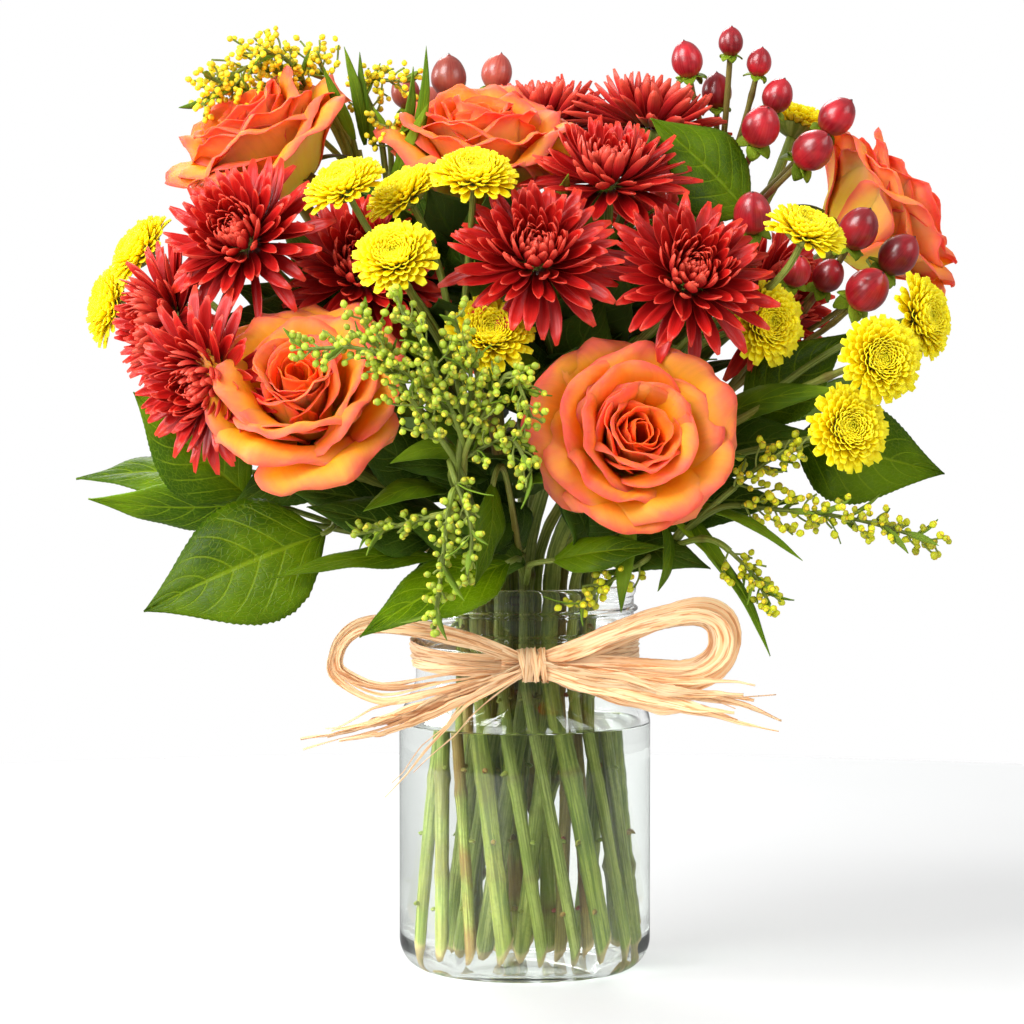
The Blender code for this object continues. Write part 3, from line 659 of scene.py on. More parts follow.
@dataclass(frozen=True)
class Stalk(Finish):
    """A green stem with fibres along it, paler and redder patches, and a pale cut end."""

    green: Colour = (0.1, 0.15, 0.008)
    pale: Colour = (0.36, 0.42, 0.1)
    red: Colour = (0.2, 0.07, 0.02)
    red_share: float = 0.35

    def dress(self, graph: Graph, shader: bpy.types.Node) -> None:
        """Greens that change along the stem and from stem to stem, and brown scars where leaves were."""
        chance, age, scar = self.tone(graph)[:3]
        spread = self.spread(graph)
        fibres = graph.group(shared_effect(Effect.STREAKS), Vector=spread, Offset=chance, Fine=11.0, Coarse=0.04)
        patches = self.mottled(graph, chance, 700.0, 38.0)
        colour = graph.mix(graph.maths("MULTIPLY", fibres[0], 0.85), self.green, self.pale)
        colour = graph.mix(graph.remap(patches[1], 0.52, 0.62, 0.0, 0.3), colour, self.green)
        redness = graph.maths("MULTIPLY", patches[0], graph.remap(chance, 0.45, 0.95, 0.05, self.red_share * 2))
        colour = graph.mix(redness, colour, self.red)
        colour = graph.mix(graph.maths("MULTIPLY", scar, 0.8), colour, (0.1, 0.05, 0.012))
        cut = graph.remap(age, 0.0, 0.012, 1.0, 0.0)
        colour = graph.mix(graph.maths("MULTIPLY", cut, 0.85), colour, (0.62, 0.46, 0.22))
        value = graph.maths("MULTIPLY_ADD", chance, 0.5, 0.75)
        colour = graph.add("HueSaturation", {"Value": value, "Color": colour}).outputs[0]
        rough = graph.maths("MULTIPLY_ADD", patches[0], 0.15, self.roughness)
        join(graph, shader, Base_Color=colour, Roughness=rough, Normal=graph.bump(fibres[1], 0.5, 0.0006))
        shader.inputs["Subsurface Weight"].default_value = 0.05
        shader.inputs["Subsurface Radius"].default_value = (0.4, 1.0, 0.1)
        shader.inputs["Subsurface Scale"].default_value = 0.0012
        shader.inputs["Specular IOR Level"].default_value = 0.3


@dataclass(frozen=True)
class Blade(Finish):
    """A leathery leaf: a pale midrib, curved side veins, a fine net between them and a paler back."""

    green: Colour = (0.036, 0.084, 0.0005)
    light: Colour = (0.105, 0.19, 0.0005)
    vein: Colour = (0.2, 0.3, 0.006)
    back: Colour = (0.16, 0.25, 0.03)
    pairs: float = 7.0
    net: float = 0.5

    def veins(self, graph: Graph, spread: bpy.types.NodeSocket) -> tuple[bpy.types.NodeSocket, bpy.types.NodeSocket]:
        """The masks of the main veins and of the fine net."""
        u, v, _ = graph.parts(spread)[:3]
        out = graph.maths("MULTIPLY", graph.maths("ABSOLUTE", graph.maths("SUBTRACT", u, 0.5)), 2.0)
        midrib = graph.remap(out, 0.015, 0.06, 1.0, 0.0)
        climb = graph.maths("SUBTRACT", v, graph.maths("MULTIPLY", graph.maths("POWER", out, 1.25), 0.3))
        phase = graph.maths("MULTIPLY", climb, self.pairs)
        nearness = graph.maths("ABSOLUTE", graph.maths("SUBTRACT", graph.maths("FRACT", phase), 0.5))
        side = graph.remap(nearness, 0.02, 0.075, 1.0, 0.0)
        fade = graph.remap(out, 0.6, 0.98, 1.0, 0.0)
        main = graph.maths("MAXIMUM", midrib, graph.maths("MULTIPLY", graph.maths("MULTIPLY", side, fade), 0.75))
        cells = graph.add("TexVoronoi", {"Vector": spread, "Scale": 24.0}, feature="DISTANCE_TO_EDGE").outputs[0]
        return main, graph.remap(cells, 0.01, 0.09, 1.0, 0.0)

    def dress(self, graph: Graph, shader: bpy.types.Node) -> None:
        """Greens, veins and a soft gloss."""
        chance, _, side = self.tone(graph)[:3]
        spread = self.spread(graph)
        main, net = self.veins(graph, spread)
        patches = self.mottled(graph, chance, 600.0, 30.0)
        colour = graph.mix(patches[0], self.green, self.light)
        colour = graph.mix(graph.maths("MULTIPLY", net, self.net * 0.5), colour, self.vein)
        colour = graph.mix(graph.maths("MULTIPLY", main, 0.8), colour, self.vein)
        under = graph.mix(graph.maths("MULTIPLY", main, 0.4), self.back, self.vein)
        colour = graph.mix(side, under, colour)
        value = graph.maths("MULTIPLY_ADD", chance, 0.5, 0.75)
        colour = graph.add("HueSaturation", {"Value": value, "Color": colour}).outputs[0]
        raised = graph.maths("ADD", graph.maths("MULTIPLY", main, -1.0), graph.maths("MULTIPLY", net, -0.35))
        rough = graph.maths("MULTIPLY_ADD", side, -0.18, self.roughness + 0.18)
        join(graph, shader, Base_Color=colour, Roughness=rough, Normal=graph.bump(raised, 0.5, 0.0005))
        shader.inputs["Subsurface Weight"].default_value = 0.1
        shader.inputs["Subsurface Radius"].default_value = (0.3, 1.0, 0.05)
        shader.inputs["Subsurface Scale"].default_value = 0.001
        shader.inputs["Specular IOR Level"].default_value = 0.11


@dataclass(frozen=True)
class BerrySkin(Finish):
    """A glossy berry with lighter lines from stalk to tip and faint specks."""

    deep: Colour = (0.2, 0.001, 0.006)
    bright: Colour = (0.44, 0.005, 0.014)
    blush: Colour = (0.6, 0.09, 0.09)

    def dress(self, graph: Graph, shader: bpy.types.Node) -> None:
        """Two reds, lines and specks under a clear coat."""
        chance, _, _ = self.tone(graph)[:3]
        spread = self.spread(graph)
        _, v, _ = graph.parts(spread)[:3]
        lines = graph.group(shared_effect(Effect.STREAKS), Vector=spread, Offset=chance, Fine=18.0, Coarse=1.2)
        patches = self.mottled(graph, chance, 900.0, 110.0)
        colour = graph.mix(patches[0], self.deep, self.bright)
        colour = graph.mix(graph.maths("MULTIPLY", lines[0], 0.22), colour, self.blush)
        tip = graph.remap(v, 0.955, 0.985)
        colour = graph.mix(tip, colour, (0.03, 0.01, 0.006))
        value = graph.maths("MULTIPLY_ADD", chance, 0.6, 0.7)
        colour = graph.add("HueSaturation", {"Value": value, "Color": colour}).outputs[0]
        join(graph, shader, Base_Color=colour, Normal=graph.bump(lines[1], 0.06, 0.0004))
        shader.inputs["Coat Weight"].default_value = 0.35
        shader.inputs["Coat Roughness"].default_value = 0.16
        shader.inputs["Subsurface Weight"].default_value = 0.12
        shader.inputs["Subsurface Radius"].default_value = (1.0, 0.2, 0.15)
        shader.inputs["Subsurface Scale"].default_value = 0.0015


@dataclass(frozen=True)
class Bud(Finish):
    """A small bud: green at its base, a brown ring, and a yellow tip."""

    base: Colour = (0.6, 0.62, 0.008)
    ring: Colour = (0.4, 0.22, 0.008)
    tip: Colour = (0.95, 0.74, 0.015)

    def dress(self, graph: Graph, shader: bpy.types.Node) -> None:
        """Three colours from base to tip."""
        chance, age, _ = self.tone(graph)[:3]
        _, v, _ = graph.parts(self.spread(graph))[:3]
        patches = self.mottled(graph, chance, 900.0, 200.0)
        stops = ((0.0, self.base), (0.74, self.base), (0.84, self.ring), (0.92, self.tip), (1.0, self.tip))
        colour = graph.mix(age, graph.ramp(v, stops), self.tip)
        value = graph.maths("MULTIPLY_ADD", chance, 0.55, 0.72)
        colour = graph.add("HueSaturation", {"Value": value, "Color": colour}).outputs[0]
        join(graph, shader, Base_Color=colour, Normal=graph.bump(patches[1], 0.2, 0.0003))
        shader.inputs["Subsurface Weight"].default_value = 0.12
        shader.inputs["Subsurface Radius"].default_value = (1.0, 0.8, 0.1)
        shader.inputs["Subsurface Scale"].default_value = 0.001


@dataclass(frozen=True)
class Straw(Finish):
    """Dry raffia: pale strips with long fibres, brown streaks of painted shade for creases, and a soft shine."""

    pale: Colour = (1.0, 0.72, 0.43)
    tan: Colour = (0.96, 0.53, 0.24)
    # crease: painted shade, the brown that stands for the shade in the strips' creases.
    crease: Colour = (0.56, 0.19, 0.04)

    def dress(self, graph: Graph, shader: bpy.types.Node) -> None:
        """Fibres along the strip, with dark brown streaks of painted crease shade."""
        chance, _, _ = self.tone(graph)[:3]
        spread = self.spread(graph)
        fibres = graph.group(shared_effect(Effect.STREAKS), Vector=spread, Offset=chance, Fine=14.0, Coarse=0.03)
        dark = graph.group(
            shared_effect(Effect.STREAKS),
            Vector=spread, Offset=graph.maths("ADD", chance, 3.3), Fine=7.0, Coarse=0.06,
        )
        colour = graph.mix(fibres[0], self.pale, self.tan)
        # Painted shade: brown streaks, placed by noise, stand for shaded creases.
        colour = graph.mix(graph.remap(dark[1], 0.5, 0.62, 0.0, 0.8), colour, self.crease)
        value = graph.maths("MULTIPLY_ADD", chance, 0.4, 0.82)
        colour = graph.add("HueSaturation", {"Value": value, "Color": colour}).outputs[0]
        join(graph, shader, Base_Color=colour, Normal=graph.bump(fibres[1], 0.6, 0.0004))
        shader.inputs["Sheen Weight"].default_value = 0.15
        shader.inputs["Subsurface Weight"].default_value = 0.08
        shader.inputs["Subsurface Radius"].default_value = (1.0, 0.6, 0.3)
        shader.inputs["Subsurface Scale"].default_value = 0.0008


@dataclass(frozen=True)
class Clear(Finish):
    """Clear glass or water, which lets the lamps' light through to what is behind it."""

    tint: Colour = (0.97, 0.99, 0.98)
    ior: float = 1.5
    waviness: float = 0.0
    gloss: float = 0.5

    def dress(self, graph: Graph, shader: bpy.types.Node) -> None:
        """A clear body with a faintly uneven surface. Its shadow is only a tint."""
        shader.inputs["Base Color"].default_value = (*self.tint, 1)
        shader.inputs["Transmission Weight"].default_value = 1
        shader.inputs["IOR"].default_value = self.ior
        shader.inputs["Specular IOR Level"].default_value = self.gloss
        if self.waviness:
            ripple = graph.group(
                shared_effect(Effect.MOTTLE), Vector=self.place(graph), Offset=0.0, Fine=26.0, Coarse=10.0
            )
            join(graph, shader, Normal=graph.bump(ripple[1], self.waviness, 0.001))
        through = graph.add("BsdfTransparent", {0: (*self.tint, 1)}).outputs[0]
        ray = graph.add("LightPath").outputs["Is Shadow Ray"]
        mixed = graph.add("MixShader", {0: ray, 1: shader.outputs[0], 2: through}).outputs[0]
        out = next(node for node in graph.tree.nodes if node.type == "OUTPUT_MATERIAL")
        graph.tree.links.new(mixed, out.inputs[0])


# --- flowers ----------------------------------------------------------------------------------


@dataclass(frozen=True)
class Head:
    """One flower head: its CAD node, its middle from the mouth's centre, and the way it looks."""

    name: str
    middle: Point
    faces: Point

    def turn(self, spin: float = 0.0) -> Array:
        """The matrix that turns a flower looking up to look this way."""
        return facing_turn(np.array(self.faces), spin)

    def back(self, height: float) -> Array:
        """The point behind the head where its stem ends."""
        return above_mouth(self.middle) - unit(np.array(self.faces, float)) * (height / 2 + 0.35)


def run_out(angles: Array, lengths: Array) -> tuple[Array, Array]:
    """Integrates petals' profiles.

    Args:
        angles: For each petal, how steeply it climbs at even steps from base to tip, in radians.
        lengths: Each petal's length.

    Returns:
        How far out and how far up each petal is at each step.
    """
    step = lengths[:, None] / (angles.shape[1] - 1)
    middle = (angles[:, 1:] + angles[:, :-1]) / 2
    start = np.zeros((len(angles), 1))
    out = np.cumsum(np.cos(middle) * step, axis=1)
    up = np.cumsum(np.sin(middle) * step, axis=1)
    return np.concatenate([start, out], axis=1), np.concatenate([start, up], axis=1)


def stood_round(turns: Array, radial: Array, lateral: Array, height: Array) -> Array:
    """Turns petals round the flower's axis.

    Args:
        turns: Each petal's clock angle.
        radial: Distance out, by petal and point.
        lateral: Distance to the side, by petal and point.
        height: Height, by petal and point.

    Returns:
        Places, by petal, point and axis.
    """
    cos, sin = np.cos(turns)[:, None], np.sin(turns)[:, None]
    return np.stack([radial * cos + lateral * sin, radial * sin - lateral * cos, height], axis=-1)


@dataclass
class Flower:
    """What every kind of flower head has.

    Attributes:
        height: From the stem's end to the top, as the CAD head has it.
        petals: The petals' finish.
        green: The calyx's finish.
        slot: A slot name for the petals; it is not used.
    """

    height: float
    petals: Petal
    green: Stalk
    slot: str

    def corolla(self, rng: np.random.Generator) -> Shell:
        """The petals of a flower that looks up, about its middle."""
        raise NotImplementedError

    def calyx(self, rng: np.random.Generator) -> Shell:
        """The green cup under them."""
        raise NotImplementedError

    def bloom(self, head: Head, rng: np.random.Generator) -> None:
        """Makes one head's pieces in their place."""
        turn = head.turn(rng.uniform(0, math.tau))
        middle = above_mouth(head.middle)
        make_piece(head.name + "_petals", self.corolla(rng).moved(turn, middle), self.petals, (head.name,))
        make_piece(head.name + "_calyx", self.calyx(rng).moved(turn, middle), self.green, ())


@dataclass
class Rose(Flower):
    """A garden rose: a tight spiral heart and wide petals that roll back at their rims."""

    count: int = 30
    across: int = 16
    along: int = 16
    climbs: tuple[tuple[float, ...], ...] = (
        (58, 84, 92, 99, 106),
        (40, 74, 80, 66, 22),
        (6, 54, 54, 12, -50),
    )
    lengths: tuple[float, float, float] = (31, 41, 50)
    half_widths: tuple[float, float] = (9, 30)

    def corolla(self, rng: np.random.Generator) -> Shell:
        """Petals from the heart outwards, each on its own roll."""
        sheet = blank(self.across, self.along)
        u, v, w = sheet.points.T
        rim_drop = 0.17 * np.abs(u) ** 2.4 - 0.03 * np.exp(-((u / 0.16) ** 2))
        reach_v = v * (1 - rim_drop)
        steps = np.linspace(0, 1, 41)
        ages = np.linspace(0, 1, self.count)
        places = np.empty((self.count, len(u), 3))
        turns = np.arange(self.count) * GOLDEN_ANGLE + rng.normal(0, 0.1, self.count)
        for k, age in enumerate(ages):
            places[k] = self.petal(age, u, v, w, reach_v, steps, rng)
        placed = stood_round(turns, places[..., 0], places[..., 1], places[..., 2])
        return scattered(sheet, placed, rng.random(self.count), ages)

    def petal(self, age: float, u: Array, v: Array, w: Array, reach_v: Array, steps: Array,
              rng: np.random.Generator) -> Array:
        """One petal's points.

        Args:
            age: 0 at the heart, 1 outside.
            u: Across, -1 to 1.
            v: Along, 0 to 1.
            w: The side, -1 or 1.
            reach_v: Along, with the rim rounded off.
            steps: Even steps along for the profile.
            rng: The source of chance.

        Returns:
            Distance out, to the side and up, by point.
        """
        knots = [np.interp(age, (0, 0.5, 1), column) for column in zip(*self.climbs)]
        angles = np.radians(np.interp(steps, (0, 0.3, 0.6, 0.85, 1), knots))
        angles = angles + rng.normal(0, 0.07) + rng.normal(0, 0.22) * age * steps**2
        length = np.interp(age, (0, 0.5, 1), self.lengths) * rng.uniform(0.95, 1.05)
        out, up = run_out(angles[None], np.array([length]))
        start = 1.3 + 3.7 * age
        ring = start + np.interp(reach_v, steps, out[0])
        height = blend(-14.0, -20.0, age) + np.interp(reach_v, steps, up[0])
        climb = np.interp(reach_v, steps, angles)
        outline = np.interp(v, (0, 0.2, 0.45, 0.7, 0.88, 1), (0.3, 0.58, 0.86, 1, 0.97, 0.8))
        half = blend(*self.half_widths, age**0.75) * outline * rng.uniform(0.93, 1.07)
        local = ring * (1 + 0.45 * age) + 0.8
        turn = np.clip(half / local, 0, 2.5) * u
        normal = np.stack([-np.sin(climb) * np.cos(turn), -np.sin(climb) * np.sin(turn), np.cos(climb)])
        radial = ring - local * (1 - np.cos(turn)) + u * blend(0.5, 1.6, age)
        lateral = local * np.sin(turn)
        rolled = 7.0 * age * np.abs(u) ** 3 * ease(v, 0.35, 1.0)
        waves = sum(
            amount * np.sin(u * pace + rng.uniform(0, math.tau)) for amount, pace in ((1.3, 4.3), (0.8, 9.1), (0.3, 17))
        )
        proud = -rolled - 0.4 + waves * ease(v, 0.45, 1) * blend(0.35, 1.5, age)
        crease = rng.uniform(0.2, 0.8) * np.exp(-((u - rng.uniform(-0.4, 0.4)) / 0.2) ** 2) * v**2 * age
        thick = blend(0.45, 0.17, v) * w
        offset = proud + crease + thick
        return np.stack([radial, lateral, height]).T + (normal * offset).T

    def calyx(self, rng: np.random.Generator) -> Shell:
        """A round hip with five long sepals that hang back."""
        rise = np.linspace(-22.2, -15, 8)
        radii = np.interp(rise, (-22.2, -20.5, -18, -15), (3.2, 5.2, 6.2, 5.4))
        path = np.stack([rise * 0, rise * 0, rise], axis=1)
        hip = sweep(path, radii, radii, 14, hint=(1, 0, 0))
        sheet = blank(4, 10)
        u, v, w = sheet.points.T
        count = 5
        angles = np.radians(np.interp(np.linspace(0, 1, 41), (0, 0.3, 1), (40, 0, -50)))
        angles = angles + rng.normal(0, 0.25, (count, 1)) * np.linspace(0, 1, 41)
        out, up = run_out(angles, np.full(count, 24.0))
        index = np.round(v * 40).astype(int)
        half = 3.6 * np.interp(v, (0, 0.25, 0.6, 1), (0.8, 1, 0.55, 0.06))
        lateral = np.broadcast_to(half * u, (count, len(u)))
        climb = angles[:, index]
        offset = w * 0.25 + u**2 * half * 0.35
        radial = 4.5 + out[:, index] - np.sin(climb) * offset
        height = -18.5 + up[:, index] + np.cos(climb) * offset
        turns = np.arange(count) * math.tau / count + rng.normal(0, 0.15, count)
        sepals = scattered(sheet, stood_round(turns, radial, lateral, height), rng.random(count), np.full(count, 0.5))
        return joined([hip, sepals]).toned(rng.uniform(0.2, 0.6), 0.5)


@dataclass
class Composite(Flower):
    """A head of many narrow petals round a dome, packed by the golden angle.

    Attributes:
        count: How many petals.
        rows: Faces across and along a petal.
        lengths: The heart's and the outer petals' lengths.
        half_widths: Their half-widths.
        outline: The half-width's shares at even steps from base to tip.
        climbs: How steeply the heart's, middle and outer petals leave, in degrees.
        bends: How far each turns on the way to its tip, in degrees. Outwards is negative.
        dome: The heart's and the outer petals' distance from the axis.
        feet: Heights of the petals' feet, from the heart outwards.
        channel: How deep the petals' hollow is, as a share of the half-width.
    """

    count: int = 170
    rows: tuple[int, int] = (4, 6)
    lengths: tuple[float, float, float] = (8, 17, 28)
    half_widths: tuple[float, float, float] = (1.1, 2.0, 2.9)
    outline: tuple[float, ...] = (0.42, 0.6, 0.8, 0.97, 1.0, 0.8, 0.26)
    climbs: tuple[float, float, float] = (86, 52, -8)
    bends: tuple[float, float, float] = (45, 42, -12)
    dome: tuple[float, float] = (0.6, 8.5)
    feet: tuple[float, float, float] = (0.5, -1, -6)
    channel: float = 0.5
    unruly: float = 0.12
    cup: tuple[tuple[float, float], ...] = ((-12.6, 3), (-11, 6.5), (-8, 8.5), (-6, 7))

    def corolla(self, rng: np.random.Generator) -> Shell:
        """Every petal at once."""
        sheet = blank(*self.rows)
        u, v, w = sheet.points.T
        ages = np.arange(self.count) / (self.count - 1)
        thirds = (0, 0.45, 1)
        steps = np.linspace(0, 1, self.rows[1] * 8 + 1)
        index = np.round(v * (len(steps) - 1)).astype(int)
        climb = np.interp(ages, thirds, self.climbs) + rng.normal(0, self.unruly * 40, self.count) * (0.35 + ages)
        bend = np.interp(ages, thirds, self.bends) * rng.uniform(0.6, 1.4, self.count)
        bend = bend + rng.normal(0, self.unruly * 90, self.count) * ages
        angles = np.radians(climb[:, None] + bend[:, None] * steps**1.5)
        lengths = np.interp(ages, thirds, self.lengths) * rng.uniform(0.88, 1.08, self.count)
        out, up = run_out(angles, lengths)
        half = np.interp(ages, thirds, self.half_widths) * rng.uniform(0.85, 1.12, self.count)
        shape = np.interp(v, np.linspace(0, 1, len(self.outline)), self.outline)
        half = half[:, None] * shape
        sway = rng.normal(0, self.unruly, self.count)[:, None] * v**2 * lengths[:, None]
        roll = rng.normal(0, self.unruly * 2.2, self.count)[:, None] * (0.3 + 0.7 * v)
        lateral = half * u * np.cos(roll)
        offset = half * (u**2 - 0.4) * self.channel + half * u * np.sin(roll) + w * 0.16
        steep = angles[:, index]
        foot = blend(*self.dome, ages[:, None] ** 0.55)
        radial = foot + out[:, index] - np.sin(steep) * offset
        height = np.interp(ages, thirds, self.feet)[:, None] + up[:, index] + np.cos(steep) * offset
        turns = np.arange(self.count) * GOLDEN_ANGLE + rng.normal(0, 0.05, self.count)
        return scattered(sheet, stood_round(turns, radial, lateral + sway, height), rng.random(self.count), ages)

    def calyx(self, rng: np.random.Generator) -> Shell:
        """A ribbed cup of small scales."""
        rise = np.linspace(self.cup[0][0], self.cup[-1][0], 9)
        radii = np.interp(rise, *zip(*self.cup))
        ribs = 1 + 0.05 * (np.arange(32) % 2)
        path = np.stack([rise * 0, rise * 0, rise], axis=1)
        widths = radii[:, None] * ribs[None]
        return sweep(path, widths, widths, 32, hint=(1, 0, 0)).toned(rng.uniform(0.1, 0.5), 0.5)


# --- leaves, buds and berries -----------------------------------------------------------------


class LeafForm(Enum):
    """The outlines of the leaves: half-width shares from base to tip."""

    BROAD = (0.05, 0.5, 0.83, 0.98, 1.0, 0.93, 0.79, 0.59, 0.37, 0.17, 0.0)
    NARROW = (0.25, 0.62, 0.85, 0.97, 1.0, 0.95, 0.85, 0.7, 0.5, 0.27, 0.0)


@dataclass(frozen=True)
class Leaf:
    """A leaf blade from base to tip, with its width and the way its upper side looks.

    Attributes:
        base: Where the blade starts, from the mouth's centre.
        tip: Where it ends.
        width: Its full width.
        looks: The way that its upper side looks.
        form: Its outline.
        bow: How far it arches, as a share of its length.
        fold: How far its halves fold up from the midrib, as a share of the half-width.
        waves: How far its edges wave, in millimetres.
    """

    base: Point
    tip: Point
    width: float
    looks: Point
    form: LeafForm = LeafForm.BROAD
    bow: float = 0.06
    fold: float = 0.16
    waves: float = 1.1

    def shell(self, rng: np.random.Generator, rows: tuple[int, int] = (20, 64)) -> Shell:
        """The blade: folded at its midrib, quilted between its veins, with fine teeth."""
        sheet = blank(*rows)
        u, v, w = sheet.points.T
        base, tip = above_mouth(self.base), above_mouth(self.tip)
        length = float(np.linalg.norm(tip - base))
        along = unit(tip - base)
        up = unit(np.array(self.looks, float))
        across = unit(np.cross(along, up))
        up = np.cross(across, along)
        outline = np.interp(v, np.linspace(0, 1, 11), self.form.value)
        edge = np.abs(u) ** 8
        toothed = 1 + 0.012 * edge * np.where(np.round(v * rows[1]) % 2, 1, -1)
        half = self.width / 2 * np.maximum(outline, 0.012) * toothed
        out = np.abs(u)
        phase = (v - 0.3 * out**1.25) * 7
        veins = np.abs(phase % 1 - 0.5)
        relief = -0.5 * np.exp(-((veins / 0.09) ** 2)) * ease(1 - out, 0, 0.5) - 0.8 * np.exp(-((out / 0.06) ** 2))
        wave = sum(
            np.sin(v * pace + rng.uniform(0, math.tau) + np.sign(u) * rng.uniform(0, 2)) for pace in (9, 17)
        )
        wave = wave * out**2 * self.waves * ease(outline, 0, 0.6)
        lift = self.fold * out * half + relief * min(self.width / 40, 1) + wave * 0.5
        lift = lift - 0.12 * half * out**3 * 2
        droop = self.bow * length * np.sin(math.pi * v)
        sway = rng.normal(0, 0.02) * length * np.sin(math.pi * v)
        thick = w * 0.24
        places = (
            base
            + along * (v * length)[:, None]
            + across * (half * u + sway)[:, None]
            + up * (droop + lift + thick)[:, None]
        )
        sheet.points = places
        if volumes(places[None], sheet.quads, sheet.tris)[0] < 0:
            sheet.quads, sheet.tris = sheet.quads[:, ::-1], sheet.tris[:, ::-1]
        return sheet.toned(rng.random(), 0.5)


@dataclass(frozen=True)
class Plume:
    """A branch that carries buds: its points, and how far out they stand at its two ends."""

    points: tuple[Point, ...]
    radii: tuple[float, float]

    def path(self) -> Array:
        """Its middle line."""
        return even_path(smooth_path([above_mouth(p) for p in self.points], 8), 1.0)


@dataclass(frozen=True)
class Berry:
    """A berry: its middle from the mouth's centre, and its radius."""

    middle: Point
    radius: float


def bud_shell() -> Shell:
    """A bud that looks up from its foot, one long: a small ball drawn out to a tip."""
    deselect_all()
    bpy.ops.mesh.primitive_uv_sphere_add(segments=8, ring_count=6, radius=1)
    ball = taken(bpy.context.object, 1.0)
    x, y, z = ball.points.T
    rise = (z + 1) / 2
    waist = np.interp(rise, (0, 0.25, 0.5, 0.72, 0.8, 0.93, 1), (0.6, 0.95, 1.05, 0.95, 0.92, 1.1, 1))
    ball.points = np.stack([x * waist * 0.42, y * waist * 0.42, rise], axis=1)
    ball.uvs = np.stack([rise * 0, rise], axis=1)
    return ball


def berry_shell() -> Shell:
    """A berry of radius one about its middle that looks up: an egg with a small dark tip."""
    deselect_all()
    bpy.ops.mesh.primitive_uv_sphere_add(segments=24, ring_count=18, radius=1)
    ball = taken(bpy.context.object, 1.0)
    x, y, z = ball.points.T
    rise = (z + 1) / 2
    waist = np.interp(rise, (0, 0.3, 0.6, 0.9, 1), (0.9, 1.02, 0.98, 0.9, 0.8))
    point = 0.12 * np.exp(-((np.hypot(x, y) / 0.1) ** 2)) * (z > 0)
    ball.points = np.stack([x * waist * 0.93, y * waist * 0.93, z * 1.14 + point], axis=1)
    turn = np.arctan2(y, x)
    ball.uvs = np.stack([0.5 + 0.5 * np.cos(turn * 3), np.arccos(np.clip(-z, -1, 1)) / math.pi], axis=1)
    return ball


def collar_shell(rng: np.random.Generator, count: int = 5, length: float = 0.92, width: float = 0.4,
                 start: float = 0.25) -> Shell:
    """Small leaves that spread from a point, for a berry or flower of radius one that looks up."""
    sheet = blank(2, 5)
    u, v, w = sheet.points.T
    steps = np.linspace(0, 1, 41)
    angles = np.radians(np.interp(steps, (0, 0.5, 1), (10, -25, -55))) + rng.normal(0, 0.3, (count, 1)) * steps
    out, up = run_out(angles, np.full(count, length))
    index = np.round(v * 40).astype(int)
    half = width * np.interp(v, (0, 0.3, 0.7, 1), (0.5, 0.95, 0.9, 0.2))
    lateral = np.broadcast_to(half * u, (count, len(u)))
    radial = start * 0.3 + out[:, index] - np.sin(angles[:, index]) * w * 0.03
    height = up[:, index] + np.cos(angles[:, index]) * (w * 0.03 + 0.1 * u**2)
    turns = np.arange(count) * math.tau / count + rng.normal(0, 0.2, count)
    return scattered(sheet, stood_round(turns, radial, lateral, height), rng.random(count), np.full(count, 0.5))


# --- stems and what they carry ----------------------------------------------------------------


@dataclass(frozen=True)
class Ring:
    """A ring of stems: its shares of the room in the neck and at the foot, and its twist between them."""

    neck_share: float
    foot_share: float
    twist_deg: float


OUTER = Ring(0.62, 0.92, 34)
MIDDLE = Ring(0.365, 0.60, -42)
CENTRE = Ring(0.14, 0.24, 70)


def round_the_axis(radius: float, clock_deg: float, height: float) -> Array:
    """The point at that distance from the jar's axis, clock angle and height."""
    turn = math.radians(clock_deg)
    return np.array((radius * math.cos(turn), radius * math.sin(turn), height))


